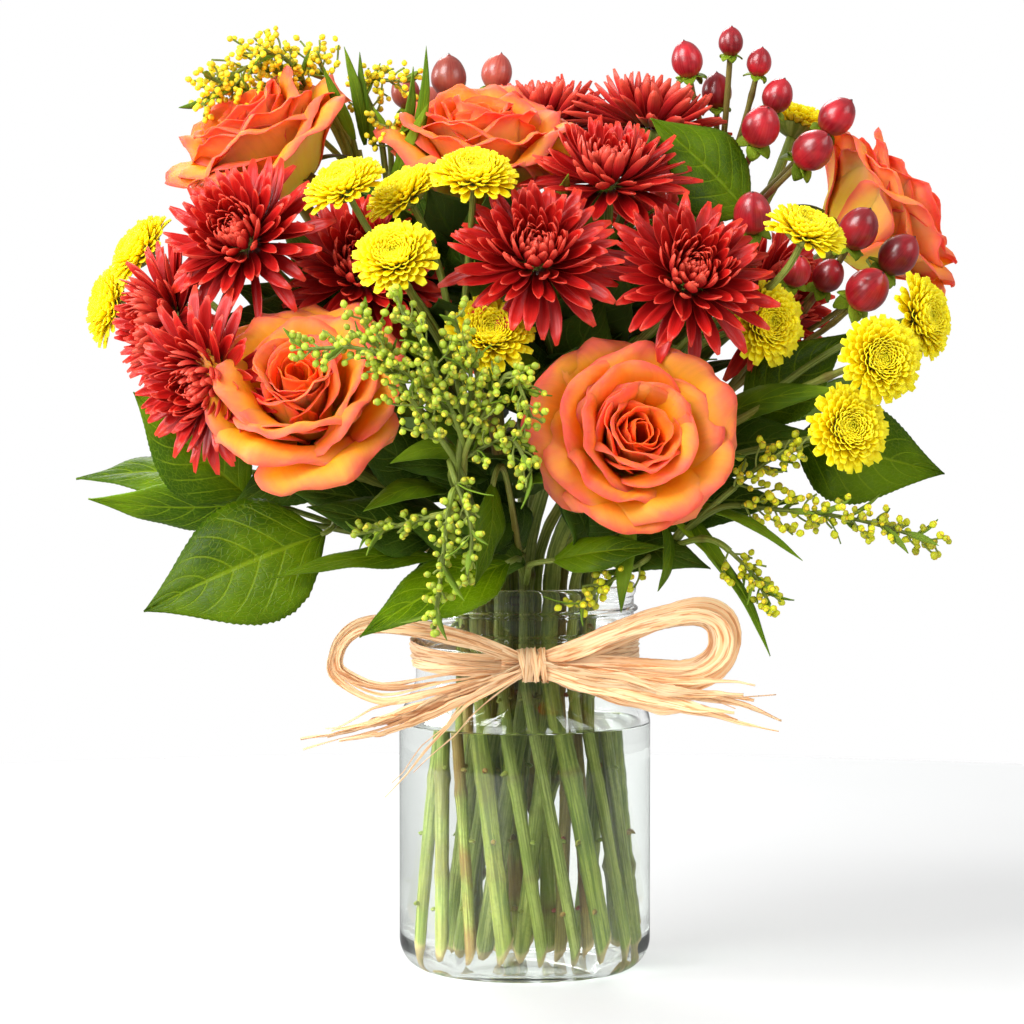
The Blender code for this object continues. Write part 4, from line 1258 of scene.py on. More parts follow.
@dataclass
class Growth:
    """A stem and all that grows from it, in place of its CAD node.

    Attributes:
        name: Its CAD node.
        radius: The stem's radius.
        ring: Its ring in the neck.
        clock_deg: Its clock angle there.
        fork: Where it forks, from the mouth's centre.
        heads: The flower heads it carries.
        flower: What kind they are.
        plumes: The bud plumes it carries.
        leaves: The leaves it carries.
        berries: The berries it carries.
        slot: A slot name for its CAD node; it is not used.
        stalk: The finish of its stem.
        bud: The finish of its buds.
        ripe: 1 where its buds are open and all yellow.
    """

    name: str
    radius: float
    ring: Ring
    clock_deg: float
    fork: Point = ()
    heads: tuple[Head, ...] = ()
    flower: Flower | None = None
    plumes: tuple[Plume, ...] = ()
    leaves: tuple[Leaf, ...] = ()
    berries: tuple[Berry, ...] = ()
    slot: str = "stem"
    stalk: Stalk = field(default_factory=lambda: GREEN_STALK)
    bud: Bud = field(default_factory=lambda: BUD)
    ripe: float = 0.0

    def in_the_jar(self) -> list[Array]:
        """Points from the foot to the rim."""
        neck_room, foot_room = NECK_RADIUS - GLASS_WALL, BODY_RADIUS - HEEL_ROOM
        foot = round_the_axis(foot_room * self.ring.foot_share, self.clock_deg + self.ring.twist_deg, STEM_FOOT)
        low = round_the_axis(neck_room * self.ring.neck_share, self.clock_deg, RIM - NECK_DEPTH)
        top = round_the_axis(neck_room * self.ring.neck_share * MOUTH_FLARE, self.clock_deg, RIM)
        return [foot, (foot + low) / 2, low, top]

    def main_run(self) -> Array:
        """The stem's path from its foot to its fork, or to its only head."""
        lower = self.in_the_jar()
        rise = unit(lower[-1] - lower[-2])
        if self.fork:
            goal = above_mouth(self.fork)
            arriving = unit(unit(goal - lower[-1]) + rise)
        else:
            goal = self.heads[0].back(self.flower.height)
            arriving = unit(np.array(self.heads[0].faces, float))
        upper = reach(lower[-1], rise, goal, arriving)
        return even_path(np.concatenate([smooth_path(lower, 8), upper]), 2.5)

    def goals(self) -> list[tuple[Array, Array]]:
        """Where each branch ends, and the way that it arrives."""
        ends = [(head.back(self.flower.height), unit(np.array(head.faces, float))) for head in self.heads]
        for berry in self.berries:
            middle = above_mouth(berry.middle)
            way = self.berry_faces(berry)
            ends.append((middle - way * berry.radius, way))
        for first, second in [(x.base, x.tip) for x in self.leaves] + [x.points[:2] for x in self.plumes]:
            way = unit(above_mouth(second) - above_mouth(first))
            ends.append((above_mouth(first) + way * 1.5, way))
        return ends

    def berry_faces(self, berry: Berry) -> Array:
        """The way that a berry points: away from the fork and a little up."""
        return unit(unit(above_mouth(berry.middle) - above_mouth(self.fork)) + (0, 0, 0.35))

    def branches(self, main: Array) -> list[Array]:
        """One path for each thing that grows from the fork."""
        if not self.fork:
            return []
        lengths = measured(main)
        paths = []
        for number, (goal, arriving) in enumerate(self.goals()):
            mark = lengths[-1] - (3.5 + 6 * number)
            start = np.array([np.interp(mark, lengths, main[:, k]) for k in range(3)])
            before = np.array([np.interp(mark - 2, lengths, main[:, k]) for k in range(3)])
            away = unit(unit(goal - start) * 2 + unit(start - before))
            paths.append(even_path(np.array([start, *reach(start, away, goal, arriving, 24)]), 2.0))
        return paths

    def stem_tube(self, path: Array, radius: float, rng: np.random.Generator, cut: float = 0.0) -> Shell:
        """A stem along a path, with knuckles where leaves were, shallow grooves and a taper."""
        lengths = measured(path)
        taper = radius * np.linspace(1, 0.86, len(path))
        scars = np.zeros(len(path))
        for mark in np.arange(rng.uniform(12, 30), lengths[-1] - 6, 38.0):
            strength = rng.random() ** 2
            taper = taper * (1 + (0.06 + 0.24 * strength) * np.exp(-(((lengths - mark) / 2.4) ** 2)))
            scars = np.maximum(scars, strength * np.exp(-(((lengths - mark - 1) / 1.4) ** 2)))
        sides = 12 if radius > 1.8 else 8
        grooves = 1 + 0.05 * np.cos(np.arange(sides) * math.tau / sides * 4 + rng.uniform(0, 6))
        widths = taper[:, None] * grooves[None] * rng.uniform(0.97, 1.03, (len(path), sides))
        tube = sweep(path, widths, widths, sides, chance=rng.random(), slant=cut)
        tube.tones[:-2, 2] = np.repeat(scars, sides)
        return tube

    def above_foot(self, main: Array) -> Array:
        """The run from a little way up, so that the slanted cut ends above the glass floor.

        Args:
            main: The whole run, from the foot.

        Returns:
            As many points, evenly spaced on what is left of it.
        """
        lengths = measured(main)
        marks = np.linspace(CUT_ROOM * self.radius, lengths[-1], len(main))
        return np.stack([np.interp(marks, lengths, main[:, k]) for k in range(3)], axis=1)

    def stubs(self, main: Array, rng: np.random.Generator) -> list[Shell]:
        """Thorns or short cut twigs on the lower stem."""
        along, first, second = travelling_frames(main, np.array((0.1, 0.3, 0.9)))
        made = []
        for mark in range(8, len(main) - 8, 11):
            turn = rng.uniform(0, math.tau)
            side = first[mark] * math.cos(turn) + second[mark] * math.sin(turn)
            start = main[mark] + side * self.radius * 0.7
            thorn = isinstance(self.flower, Rose)
            size = rng.uniform(2.6, 4.0) if thorn else rng.uniform(1.5, 3)
            path = np.array([start, start + side * size * 0.6, start + side * size - along[mark] * size * 0.3])
            widths = np.array((1.5, 0.9, 0.1)) if thorn else np.array((1.0, 0.85, 0.7))
            made.append(sweep(path, widths, widths * 0.8, 7, chance=0.9))
        return made

    def grow(self, rng: np.random.Generator) -> None:
        """Makes the stem, then each thing that it carries."""
        main = self.main_run()
        standing = self.stem_tube(self.above_foot(main), self.radius, rng, cut=SLANT_CUT)
        shells = [standing, *self.stubs(main, rng)]
        for path in self.branches(main):
            shells.append(self.stem_tube(path, self.radius * 0.62, rng))
        for plume in self.plumes:
            shells.append(self.stem_tube(plume.path(), 0.9, rng))
        make_piece(self.name + "_stalk", joined(shells), self.stalk, (self.name,))
        for head in self.heads:
            self.flower.bloom(head, rng)
        if self.leaves:
            blades = joined([leaf.shell(rng) for leaf in self.leaves])
            make_piece(self.name + "_leaves", blades, SALAL_BLADE, (self.name,))
        if self.berries:
            self.grow_berries(rng)
        if self.plumes:
            self.grow_buds(rng)

    def grow_berries(self, rng: np.random.Generator) -> None:
        """Makes the berries and the sepals at their feet."""
        ball = berry_shell()
        fruit, collars = [], []
        for berry in self.berries:
            faces = self.berry_faces(berry)
            middle = above_mouth(berry.middle)
            turn = facing_turn(faces, rng.uniform(0, math.tau))
            fruit.append(ball.moved(turn, middle, berry.radius).toned(rng.random(), 0.5))
            foot = middle - faces * berry.radius * 1.06
            collars.append(collar_shell(rng).moved(turn, foot, berry.radius * 1.05))
        skin = PALE_BERRY if self.name.endswith("back") else RED_BERRY
        make_piece(self.name + "_berries", joined(fruit), skin, (self.name,))
        make_piece(self.name + "_sepals", joined(collars), SEPAL_BLADE, ())

    def grow_buds(self, rng: np.random.Generator) -> None:
        """Makes the plumes' buds on their short stalks, and the small leaves between them."""
        bud = bud_shell()
        buds, twigs, blades = [], [], []
        for plume in self.plumes:
            path = plume.path()
            along, first, second = travelling_frames(path, np.array((0.2, 0.5, 0.8)))
            radii = np.linspace(*plume.radii, len(path)) * 1.75
            turn = rng.uniform(0, math.tau)
            place = 1.0
            while place < len(path):
                i = int(place)
                turn += GOLDEN_ANGLE
                side = first[i] * math.cos(turn) + second[i] * math.sin(turn)
                way = unit(side + along[i] * rng.uniform(0.4, 1.1))
                size = radii[i] * rng.uniform(0.7, 1.3)
                twig = smooth_path([path[i], path[i] + way * size * 0.6, path[i] + (way + along[i] * 0.25) * size], 4)
                twigs.append(sweep(twig, np.full(len(twig), 0.42), np.full(len(twig), 0.42), 5))
                for foot_share in np.arange(0.3, 1.05, (1.45 if self.ripe else 1.8) / size):
                    foot = path[i] + (twig[-1] - path[i]) * foot_share
                    out = unit(way * 0.7 + rng.normal(0, 0.75, 3))
                    foot = foot + out * rng.uniform(0.5, 1.3)
                    length = rng.uniform(2.8, 3.7) * (0.85 if self.ripe else 1)
                    shell = bud.moved(facing_turn(out, rng.uniform(0, 6)), foot, length)
                    buds.append(shell.toned(rng.random(), self.ripe * rng.uniform(0.6, 1)))
                if rng.random() < 0.3:
                    out = unit(side + along[i] * 0.8)
                    low = path[i] - (0, 0, RIM)
                    leaf = Leaf(tuple(low), tuple(low + out * rng.uniform(9, 17)), rng.uniform(2.0, 3.4),
                                tuple(unit(along[i] - out * 0.3)), LeafForm.NARROW, waves=0.1)
                    blades.append(leaf.shell(rng, (2, 8)))
                place += 1.7 if self.ripe else 2.3
        make_piece(self.name + "_buds", joined(buds), self.bud, (self.name,))
        make_piece(self.name + "_twigs", joined(twigs), self.stalk, ())
        if blades:
            make_piece(self.name + "_leaflets", joined(blades), NARROW_BLADE, ())


# --- finishes of this bouquet -----------------------------------------------------------------

GREEN_STALK = Stalk("stalk_green", 0.42)
ROSE_STALK = Stalk("stalk_rose", 0.4, green=(0.08, 0.13, 0.008), pale=(0.27, 0.33, 0.05), red_share=0.5)
TWIG_STALK = Stalk(
    "stalk_twig", 0.45,
    green=(0.15, 0.13, 0.02), pale=(0.3, 0.25, 0.06), red=(0.2, 0.035, 0.02), red_share=0.9,
)
LIME_STALK = Stalk("stalk_lime", 0.45, green=(0.12, 0.18, 0.012), pale=(0.32, 0.38, 0.08), red_share=0.15)
ROSE_PETAL = Petal(
    "petal_rose", 0.55,
    face=((0.0, (1.0, 0.62, 0.002)), (0.35, (1.0, 0.47, 0.003)), (0.7, (1.0, 0.32, 0.012)), (1.0, (1.0, 0.26, 0.07))),
    reverse=((0.0, (1.0, 0.66, 0.04)), (0.45, (1.0, 0.47, 0.06)), (0.8, (1.0, 0.34, 0.13)), (1.0, (0.94, 0.2, 0.12))),
    heart=(1.0, 0.12, 0.001), heart_until=0.6, rim=(0.9, 0.09, 0.075), rim_from=0.74, rim_share=0.85,
    streak=0.1, lines=26.0, sheen=0.02, glow=0.5, glow_colour=(1.0, 0.2, 0.01), spread_light=0.005, gloss=0.08,
)
MUM_PETAL = Petal(
    "petal_mum", 0.38,
    face=(
        (0.0, (0.12, 0.001, 0.003)), (0.5, (0.36, 0.004, 0.005)),
        (0.85, (0.56, 0.012, 0.008)), (1.0, (0.76, 0.05, 0.015)),
    ),
    reverse=((0.0, (0.2, 0.002, 0.005)), (0.6, (0.52, 0.018, 0.02)), (1.0, (0.8, 0.11, 0.06))),
    heart=(0.42, 0.02, 0.02), heart_until=0.1, rim=(0.75, 0.06, 0.03), rim_from=0.82, rim_share=0.4,
    streak=0.3, lines=14.0, sheen=0.06, glow=0.08, glow_colour=(1.0, 0.1, 0.06), spread_light=0.0015, gloss=0.4,
)
BUTTON_PETAL = Petal(
    "petal_button", 0.5,
    face=(
        (0.0, (0.85, 0.52, 0.001)), (0.4, (0.95, 0.66, 0.001)),
        (0.8, (1.0, 0.78, 0.003)), (1.0, (1.0, 0.85, 0.012)),
    ),
    reverse=((0.0, (0.85, 0.56, 0.001)), (0.6, (0.95, 0.68, 0.001)), (1.0, (1.0, 0.8, 0.006))),
    heart=(0.65, 0.56, 0.004), heart_until=0.14, rim=(0.98, 0.8, 0.04), rim_from=0.7, rim_share=0.4,
    streak=0.08, lines=8.0, sheen=0.02, glow=0.4, glow_colour=(1.0, 0.75, 0.02), spread_light=0.003, gloss=0.2,
)
SALAL_BLADE = Blade("leaf_salal", 0.36)
NARROW_BLADE = Blade(
    "leaf_narrow", 0.45,
    green=(0.07, 0.14, 0.003), light=(0.17, 0.28, 0.01), back=(0.18, 0.28, 0.03), net=0.15,
)
SEPAL_BLADE = Blade(
    "leaf_sepal", 0.45,
    green=(0.13, 0.2, 0.006), light=(0.24, 0.34, 0.02), back=(0.2, 0.28, 0.03), net=0.1,
)
# Painted shade: a darker copy of the leaf finish for the leaves deep inside the bouquet, where shade falls.
SHADED_BLADE = Blade(
    "leaf_painted_shade", 0.4,
    green=(0.02, 0.05, 0.003), light=(0.05, 0.105, 0.006), vein=(0.12, 0.19, 0.02), back=(0.07, 0.12, 0.02),
)
RED_BERRY = BerrySkin("berry_red", 0.32)
PALE_BERRY = BerrySkin(
    "berry_pale", 0.34,
    deep=(0.28, 0.03, 0.022), bright=(0.4, 0.07, 0.045), blush=(0.6, 0.22, 0.14),
)
BUD = Bud("bud_goldenrod", 0.5)
LIME_BUD = Bud("bud_lime", 0.5, base=(0.36, 0.47, 0.025), ring=(0.34, 0.24, 0.01), tip=(0.66, 0.62, 0.03))
RAFFIA = Straw("raffia_straw", 0.55)
GLASS = Clear("glass_clear", 0.0, tint=(0.97, 0.985, 0.975), ior=1.5, waviness=0.05, gloss=0.25)
WATER = Clear("water_clear", 0.0, tint=(0.985, 0.998, 0.985), ior=1.333, gloss=0.2)

ROSE = Rose(44, ROSE_PETAL, ROSE_STALK, "rose_petal")
MUM = Composite(25, MUM_PETAL, GREEN_STALK, "mum_petal")
BUTTON = Composite(
    12, BUTTON_PETAL, LIME_STALK, "button_petal", count=225, rows=(3, 4), lengths=(3.2, 5.6, 9.2),
    half_widths=(0.8, 1.5, 1.85), outline=(0.45, 0.62, 0.92, 1.0, 0.62), climbs=(88, 66, 6), bends=(30, 10, -18),
    dome=(0.4, 8.2), feet=(0.6, 0.9, -2.2), channel=0.45, unruly=0.05,
    cup=((-6.4, 2.4), (-5.2, 5.2), (-3.4, 8.0), (-1.8, 8.6)),
)

ROSE_GROWTHS = tuple(
    Growth(
        "rose_stem_" + place, 3.5, ring, clock_deg, heads=(Head("rose_" + place, middle, faces),),
        flower=ROSE, stalk=ROSE_STALK,
    )
    for place, ring, clock_deg, middle, faces in (
        ("front_left", OUTER, 225, (-83, -80, 76), (-0.15, -0.75, 0.62)),
        ("front_right", OUTER, 293, (40, -90, 60), (0.2, -0.93, 0.3)),
        ("back_left", MIDDLE, 176, (-101, 5, 170), (-0.5, -0.25, 0.82)),
        ("top", CENTRE, 200, (-17, -8, 168), (0.05, -0.3, 0.95)),
        ("right", OUTER, 8, (139, 22, 141), (0.8, 0.1, 0.55)),
        ("rear", OUTER, 90, (-5, 88, 103), (-0.1, 0.85, 0.5)),
    )
)

GROWTHS = (
    *ROSE_GROWTHS,
    Growth("mum_spray_front", 3.1, MIDDLE, 272, (14, -38, 70), (
        Head("mum_front_left", (4, -88, 130), (0.0, -0.82, 0.57)),
        Head("mum_front_right", (62, -82, 122), (0.2, -0.85, 0.5)),
        Head("mum_upper_middle", (32, -44, 160), (0.0, -0.45, 0.9)),
    ), MUM),
    Growth("mum_spray_left", 3.1, MIDDLE, 208, (-60, -22, 83), (
        Head("mum_left_upper", (-108, -58, 136), (-0.4, -0.8, 0.45)),
        Head("mum_left_outer", (-139, -30, 102), (-0.9, -0.4, 0.0)),
        Head("mum_left_lower", (-121, -74, 80), (-0.6, -0.75, -0.15)),
        Head("mum_left_inner", (-62, -42, 124), (-0.05, -0.85, 0.5)),
    ), MUM),
    Growth("mum_spray_top", 3.1, CENTRE, 80, (20, 14, 103), (
        Head("mum_top_middle", (6, 34, 181), (-0.1, 0.0, 1.0)),
        Head("mum_top_right", (50, 12, 180), (0.25, 0.25, 0.92)),
        Head("mum_right", (97, -14, 112), (0.75, -0.6, 0.2)),
        Head("mum_rear", (58, 66, 130), (0.4, 0.75, 0.5)),
    ), MUM),
    Growth("button_spray_front", 2.4, MIDDLE, 240, (-26, -52, 88), (
        Head("button_upper_left", (-68, -76, 155), (-0.4, -0.4, 0.82)),
        Head("button_middle_left", (-48, -106, 129), (-0.2, -0.75, 0.62)),
        Head("button_upper_middle", (-19, -82, 159), (0.05, -0.5, 0.87)),
        Head("button_tucked", (-46, -56, 152), (-0.5, -0.3, 0.8)),
        Head("button_under", (-13, -92, 100), (0.1, -0.8, 0.55)),
    ), BUTTON, stalk=LIME_STALK),
    Growth("button_spray_left", 2.4, OUTER, 178, (-96, 6, 84), (
        Head("button_left_upper", (-150, 4, 130), (-0.75, -0.3, 0.58)),
        Head("button_left_lower", (-163, 14, 108), (-0.9, -0.3, 0.25)),
    ), BUTTON, stalk=LIME_STALK),
    Growth("button_spray_right", 2.4, MIDDLE, 308, (64, -50, 56), (
        Head("button_right_middle", (133, -80, 90), (0.3, -0.93, 0.12)),
        Head("button_right_outer", (151, -54, 105), (0.8, -0.55, 0.2)),
        Head("button_right_lower", (121, -80, 64), (0.35, -0.9, 0.2)),
    ), BUTTON, stalk=LIME_STALK),
    Growth("button_spray_upper_right", 2.4, CENTRE, 320, (58, -36, 93), (
        Head("button_upper_right", (105, -80, 138), (0.35, -0.35, 0.87)),
        Head("button_right_tucked", (91, -66, 103), (0.5, -0.8, 0.1)),
    ), BUTTON, stalk=LIME_STALK),
    Growth("button_spray_back", 2.4, OUTER, 32, heads=(
        Head("button_back", (107, 32, 179), (0.3, 0.2, 0.93)),
    ), flower=BUTTON, stalk=LIME_STALK),
    Growth("berry_sprig_top", 2.1, MIDDLE, 20, (76, 22, 150), berries=(
        Berry((63, 6, 203), 6.6), Berry((80, 5, 210), 5.2), Berry((91, 4, 202), 5.2), Berry((98, 0, 189), 6.4),
        Berry((91, -13, 177), 8), Berry((121, 0, 181), 7.4), Berry((111, -12, 168), 8.2), Berry((75, 16, 191), 6.4),
    ), slot="berry", stalk=TWIG_STALK),
    Growth("berry_sprig_right", 2.1, MIDDLE, 344, (88, 0, 90), berries=(
        Berry((86, -50, 144), 7.8), Berry((127, -40, 138), 8), Berry((143, -30, 128), 8),
        Berry((130, -46, 115), 8.6), Berry((103, -44, 122), 6.2), Berry((116, -32, 120), 6.4),
    ), slot="berry", stalk=TWIG_STALK),
    Growth("berry_sprig_back", 2.1, MIDDLE, 104, (-30, 44, 138), berries=(
        Berry((-30, 38, 197), 7.6), Berry((-11, 46, 199), 6.6), Berry((-47, 34, 191), 6.2),
        Berry((-38, 58, 186), 7), Berry((-18, 66, 179), 7.2),
    ), slot="berry", stalk=TWIG_STALK),
    Growth("goldenrod_left", 2.2, OUTER, 150, (-66, 30, 168), plumes=(
        Plume(((-84, 22, 191), (-106, 14, 201), (-126, 8, 186)), (8, 3.5)),
        Plume(((-76, 26, 194), (-82, 24, 205)), (6, 4)),
        Plume(((-92, 34, 178), (-106, 40, 180)), (6, 3)),
        Plume(((-84, 22, 191), (-94, 12, 204), (-104, 6, 206)), (6, 3)),
        Plume(((-86, 22, 188), (-108, 10, 190), (-122, 4, 196)), (6, 3)),
    ), slot="goldenrod", stalk=LIME_STALK, ripe=1.0),
    Growth("goldenrod_middle", 2.2, MIDDLE, 140, (-54, 14, 156), plumes=(
        Plume(((-58, 12, 181), (-62, 10, 194), (-46, 10, 195)), (6, 4)),
        Plume(((-52, -6, 168), (-53, -13, 177)), (5, 3.5)),
    ), slot="goldenrod", stalk=LIME_STALK, ripe=0.7),
    Growth("goldenrod_front", 2.2, OUTER, 248, (-24, -86, 44), plumes=(
        Plume(((-30, -118, 74), (-56, -126, 94), (-82, -122, 95)), (6, 3.5)),
        Plume(((-26, -118, 70), (-38, -128, 98), (-46, -126, 110)), (6, 4)),
        Plume(((-18, -116, 66), (-6, -122, 86), (2, -122, 70)), (5, 3.5)),
        Plume(((-28, -112, 38), (-31, -104, 13), (-34, -92, -10)), (3, 1.8)),
        Plume(((-34, -94, 32), (-48, -90, 28), (-62, -88, 25)), (3, 2)),
        Plume(((-30, -112, 60), (-44, -120, 80), (-60, -122, 106)), (5.5, 3)),
        Plume(((-24, -112, 60), (-20, -122, 84), (-26, -124, 106)), (5.5, 3)),
        Plume(((-20, -108, 56), (-6, -118, 62), (2, -120, 50)), (4.5, 3)),
        Plume(((-26, -108, 46), (-20, -112, 28), (-22, -106, 8)), (2.6, 1.8)),
    ), slot="goldenrod", stalk=LIME_STALK, bud=LIME_BUD),
    Growth("goldenrod_right", 2.2, OUTER, 318, (60, -52, 24), plumes=(
        Plume(((80, -64, 34), (122, -60, 29), (156, -44, 19)), (5.5, 3)),
        Plume(((78, -64, 40), (90, -66, 50), (104, -66, 56)), (4.5, 3)),
        Plume(((76, -68, 18), (86, -70, 8), (92, -72, -3)), (4.5, 3)),
        Plume(((44, -60, 12), (30, -62, 4), (20, -64, -4)), (4, 2.6)),
    ), slot="goldenrod", stalk=LIME_STALK),
    Growth("salal_left", 2.1, OUTER, 202, (-74, -30, 30), leaves=(
        Leaf((-76, -58, 23), (-144, -66, -6), 50, (-0.1, -0.95, 0.28)),
        Leaf((-110, -14, 44), (-174, -10, 41), 26, (0, -0.5, 0.85)),
        Leaf((-104, -26, 32), (-168, -26, 34), 24, (0.1, -0.75, -0.6)),
        Leaf((-106, -38, 36), (-149, -46, 76), 36, (-0.5, -0.7, 0.5)),
    ), slot="leaf"),
    Growth("salal_front", 2.1, OUTER, 270, (-2, -42, 14), leaves=(
        Leaf((-6, -56, 12), (-62, -84, -14), 30, (-0.2, -0.75, 0.6)),
        Leaf((-32, -58, 14), (-96, -74, 7), 11, (0, -0.7, 0.7)),
        Leaf((-12, -88, 44), (-19, -99, 6), 16, (0.8, -0.6, 0.1)),
        Leaf((10, -62, 13), (52, -74, 19), 16, (0, -0.8, 0.6)),
    ), slot="leaf"),
    Growth("salal_right", 2.1, OUTER, 343, (70, -14, 44), leaves=(
        Leaf((104, -18, 56), (161, -30, 44), 42, (0.1, -0.95, 0.25)),
        Leaf((84, -28, 66), (124, -32, 98), 34, (-0.4, -0.8, 0.4)),
        Leaf((90, 20, 62), (150, 46, 74), 38, (0.1, 0.5, 0.85)),
    ), slot="leaf"),
    Growth("salal_back", 2.1, OUTER, 60, (36, 24, 92), leaves=(
        Leaf((86, -18, 144), (48, -32, 180), 38, (0.1, -0.8, 0.5)),
        Leaf((44, 70, 70), (70, 124, 62), 40, (0.1, 0.7, 0.7)),
        Leaf((-10, 62, 54), (-54, 116, 44), 42, (-0.1, 0.7, 0.7)),
    ), slot="leaf"),
)


@dataclass
class Greenery:
    """Leaves between and behind the flowers, and the grassy ones that stand out at the edges.

    Attributes:
        broad: How many broad leaves fill the bouquet.
        slender: How many slender ones do.
        blades: The grassy leaves that show: base, tip, width and the way each looks.
    """

    broad: int = 64
    slender: int = 60
    blades: tuple[tuple[Point, Point, float, Point], ...] = (
        ((-66, 0, 172), (-78, -6, 200), 5, (0, -0.9, 0.3)),
        ((-62, 2, 170), (-70, -2, 208), 5, (0.3, -0.9, 0.1)),
        ((-58, 4, 168), (-64, 0, 206), 4.5, (-0.3, -0.9, 0.1)),
        ((-50, -8, 160), (-43, -14, 200), 5, (0.5, -0.8, 0.1)),
        ((-47, -10, 158), (-38, -14, 208), 5, (0.2, -0.9, 0.1)),
        ((-52, -14, 150), (-37, -22, 186), 5.5, (-0.3, -0.9, 0.1)),
        ((52, -46, 30), (50, -70, 2), 9, (0.8, -0.5, 0.2)),
        ((40, -52, 30), (36, -72, -6), 8, (-0.4, -0.9, 0.1)),
        ((56, -50, 28), (92, -76, -22), 6, (0.5, -0.7, 0.5)),
        ((62, -48, 30), (84, -70, -2), 6, (-0.3, -0.8, 0.5)),
        ((64, -50, 34), (104, -76, 14), 5, (0.2, -0.8, 0.6)),
        ((-30, -60, 40), (-60, -96, 34), 12, (-0.2, -0.8, 0.5)),
        ((-20, -66, 52), (-50, -100, 52), 10, (0.1, -0.8, 0.6)),
        ((66, -30, 60), (118, -66, 78), 14, (-0.2, -0.8, 0.5)),
        ((8, -50, 74), (-8, -78, 96), 13, (0.2, -0.9, 0.3)),
    )

    low: tuple[tuple[Point, Point, float, Point], ...] = (
        ((-34, -50, 19), (-82, -72, 34), 24, (-0.2, -0.8, 0.5)),
        ((-14, -60, 44), (-52, -86, 50), 13, (-0.1, -0.8, 0.5)),
        ((12, -40, 70), (30, -56, 112), 36, (0.1, -0.9, 0.2)),
        ((2, -40, 66), (-6, -60, 108), 30, (-0.2, -0.9, 0.2)),
        ((30, -40, 18), (70, -62, 10), 22, (0.2, -0.8, 0.5)),
        ((24, -46, 20), (10, -74, 44), 24, (0.0, -0.8, 0.6)),
        ((46, -30, 30), (100, -50, 34), 26, (0.1, -0.8, 0.5)),
        ((-40, -30, 30), (-92, -50, 40), 28, (-0.1, -0.8, 0.5)),
        ((-30, -40, 40), (-70, -60, 66), 26, (-0.3, -0.8, 0.4)),
        ((60, -30, 50), (112, -44, 60), 26, (0.2, -0.8, 0.5)),
        ((0, -36, 16), (-16, -58, 36), 24, (0.1, -0.9, 0.3)),
        ((20, -34, 20), (34, -50, 46), 26, (0.1, -0.9, 0.3)),
        ((0, -42, 10), (-50, -60, 30), 26, (0, -0.9, 0.3)),
        ((-2, -44, 32), (-44, -58, 6), 22, (-0.1, -0.9, 0.3)),
        ((-6, -38, 30), (-44, -50, 54), 26, (0.1, -0.9, 0.3)),
        ((-60, -20, 90), (-112, -28, 116), 34, (-0.1, -0.9, 0.4)),
        ((-50, -16, 100), (-94, -22, 140), 34, (-0.2, -0.9, 0.3)),
        ((-42, -18, 84), (-76, -26, 118), 32, (0.1, -0.9, 0.3)),
        ((-38, -8, 116), (-64, -14, 160), 28, (-0.1, -0.9, 0.3)),
        ((-26, -12, 112), (-42, -18, 152), 26, (0.1, -0.9, 0.3)),
        ((-66, -30, 98), (-118, -40, 104), 32, (-0.1, -0.9, 0.4)),
        ((-70, -34, 50), (-112, -48, 32), 26, (-0.1, -0.9, 0.4)),
        ((-40, 40, 60), (-98, 60, 86), 34, (-0.2, 0.7, 0.7)),
        ((-30, 50, 80), (-72, 82, 112), 34, (-0.2, 0.8, 0.6)),
        ((-50, 20, 84), (-106, 38, 114), 32, (-0.2, 0.6, 0.8)),
        ((-20, 46, 100), (-56, 66, 146), 30, (-0.2, 0.8, 0.5)),
        ((40, 50, 70), (92, 72, 102), 34, (0.2, 0.7, 0.7)),
    )

    def fill(self, rng: np.random.Generator) -> None:
        """Makes them."""
        # The inner broad leaves take the darker finish, which paints the bouquet's inner shade.
        dark = [
            Leaf(base, tip, width, looks, bow=0.08).shell(rng, (12, 32)) for base, tip, width, looks in self.low
        ]
        for k in range(self.broad):
            turn = k * GOLDEN_ANGLE
            rise = rng.uniform(0.0, 1.0) ** 1.3
            root = np.array((math.cos(turn) * 20, math.sin(turn) * 20, 22 + 88 * rise))
            reach_out = rng.uniform(52, 84) * (1 - 0.3 * rise)
            way = unit(np.array((math.cos(turn), math.sin(turn) * 0.9, 0.15 + 0.9 * rise)))
            start = root + way * rng.uniform(8, 20)
            looks = unit(np.array((math.cos(turn) * 0.6, math.sin(turn) * 0.6, 0.8)) + rng.normal(0, 0.3, 3))
            leaf = Leaf(tuple(start), tuple(start + way * reach_out), rng.uniform(26, 38), tuple(looks), bow=0.1)
            dark.append(leaf.shell(rng, (10, 26)))
        make_piece("foliage_inner", joined(dark), SHADED_BLADE, ())
        thin = [
            Leaf(base, tip, width, looks, LeafForm.NARROW, bow=0.1, waves=0.4).shell(rng, (4, 26))
            for base, tip, width, looks in self.blades
        ]
        for k in range(self.slender):
            turn = k * GOLDEN_ANGLE + 1.0
            rise = rng.uniform(0.0, 1.0)
            way = unit(np.array((math.cos(turn), math.sin(turn) * 0.85, 0.1 + 0.9 * rise)))
            start = np.array((0, 0, 34 + 60 * rise)) + way * rng.uniform(35, 60)
            looks = unit(np.array((0, 0, 1.0)) + rng.normal(0, 0.5, 3))
            leaf = Leaf(
                tuple(start), tuple(start + way * rng.uniform(24, 44)), rng.uniform(5, 11), tuple(looks),
                LeafForm.NARROW, bow=0.12,
            )
            thin.append(leaf.shell(rng, (4, 20)))
        make_piece("foliage_slender", joined(thin), NARROW_BLADE, ())


# --- the jar, its water and the raffia --------------------------------------------------------


def arc(middle: tuple[float, float], radius: float, start_deg: float, end_deg: float, steps: int) -> list:
    """Points (radius, height) on an arc."""
    turns = np.radians(np.linspace(start_deg, end_deg, steps + 1))
    return [(middle[0] + radius * math.cos(a), middle[1] + radius * math.sin(a)) for a in turns]


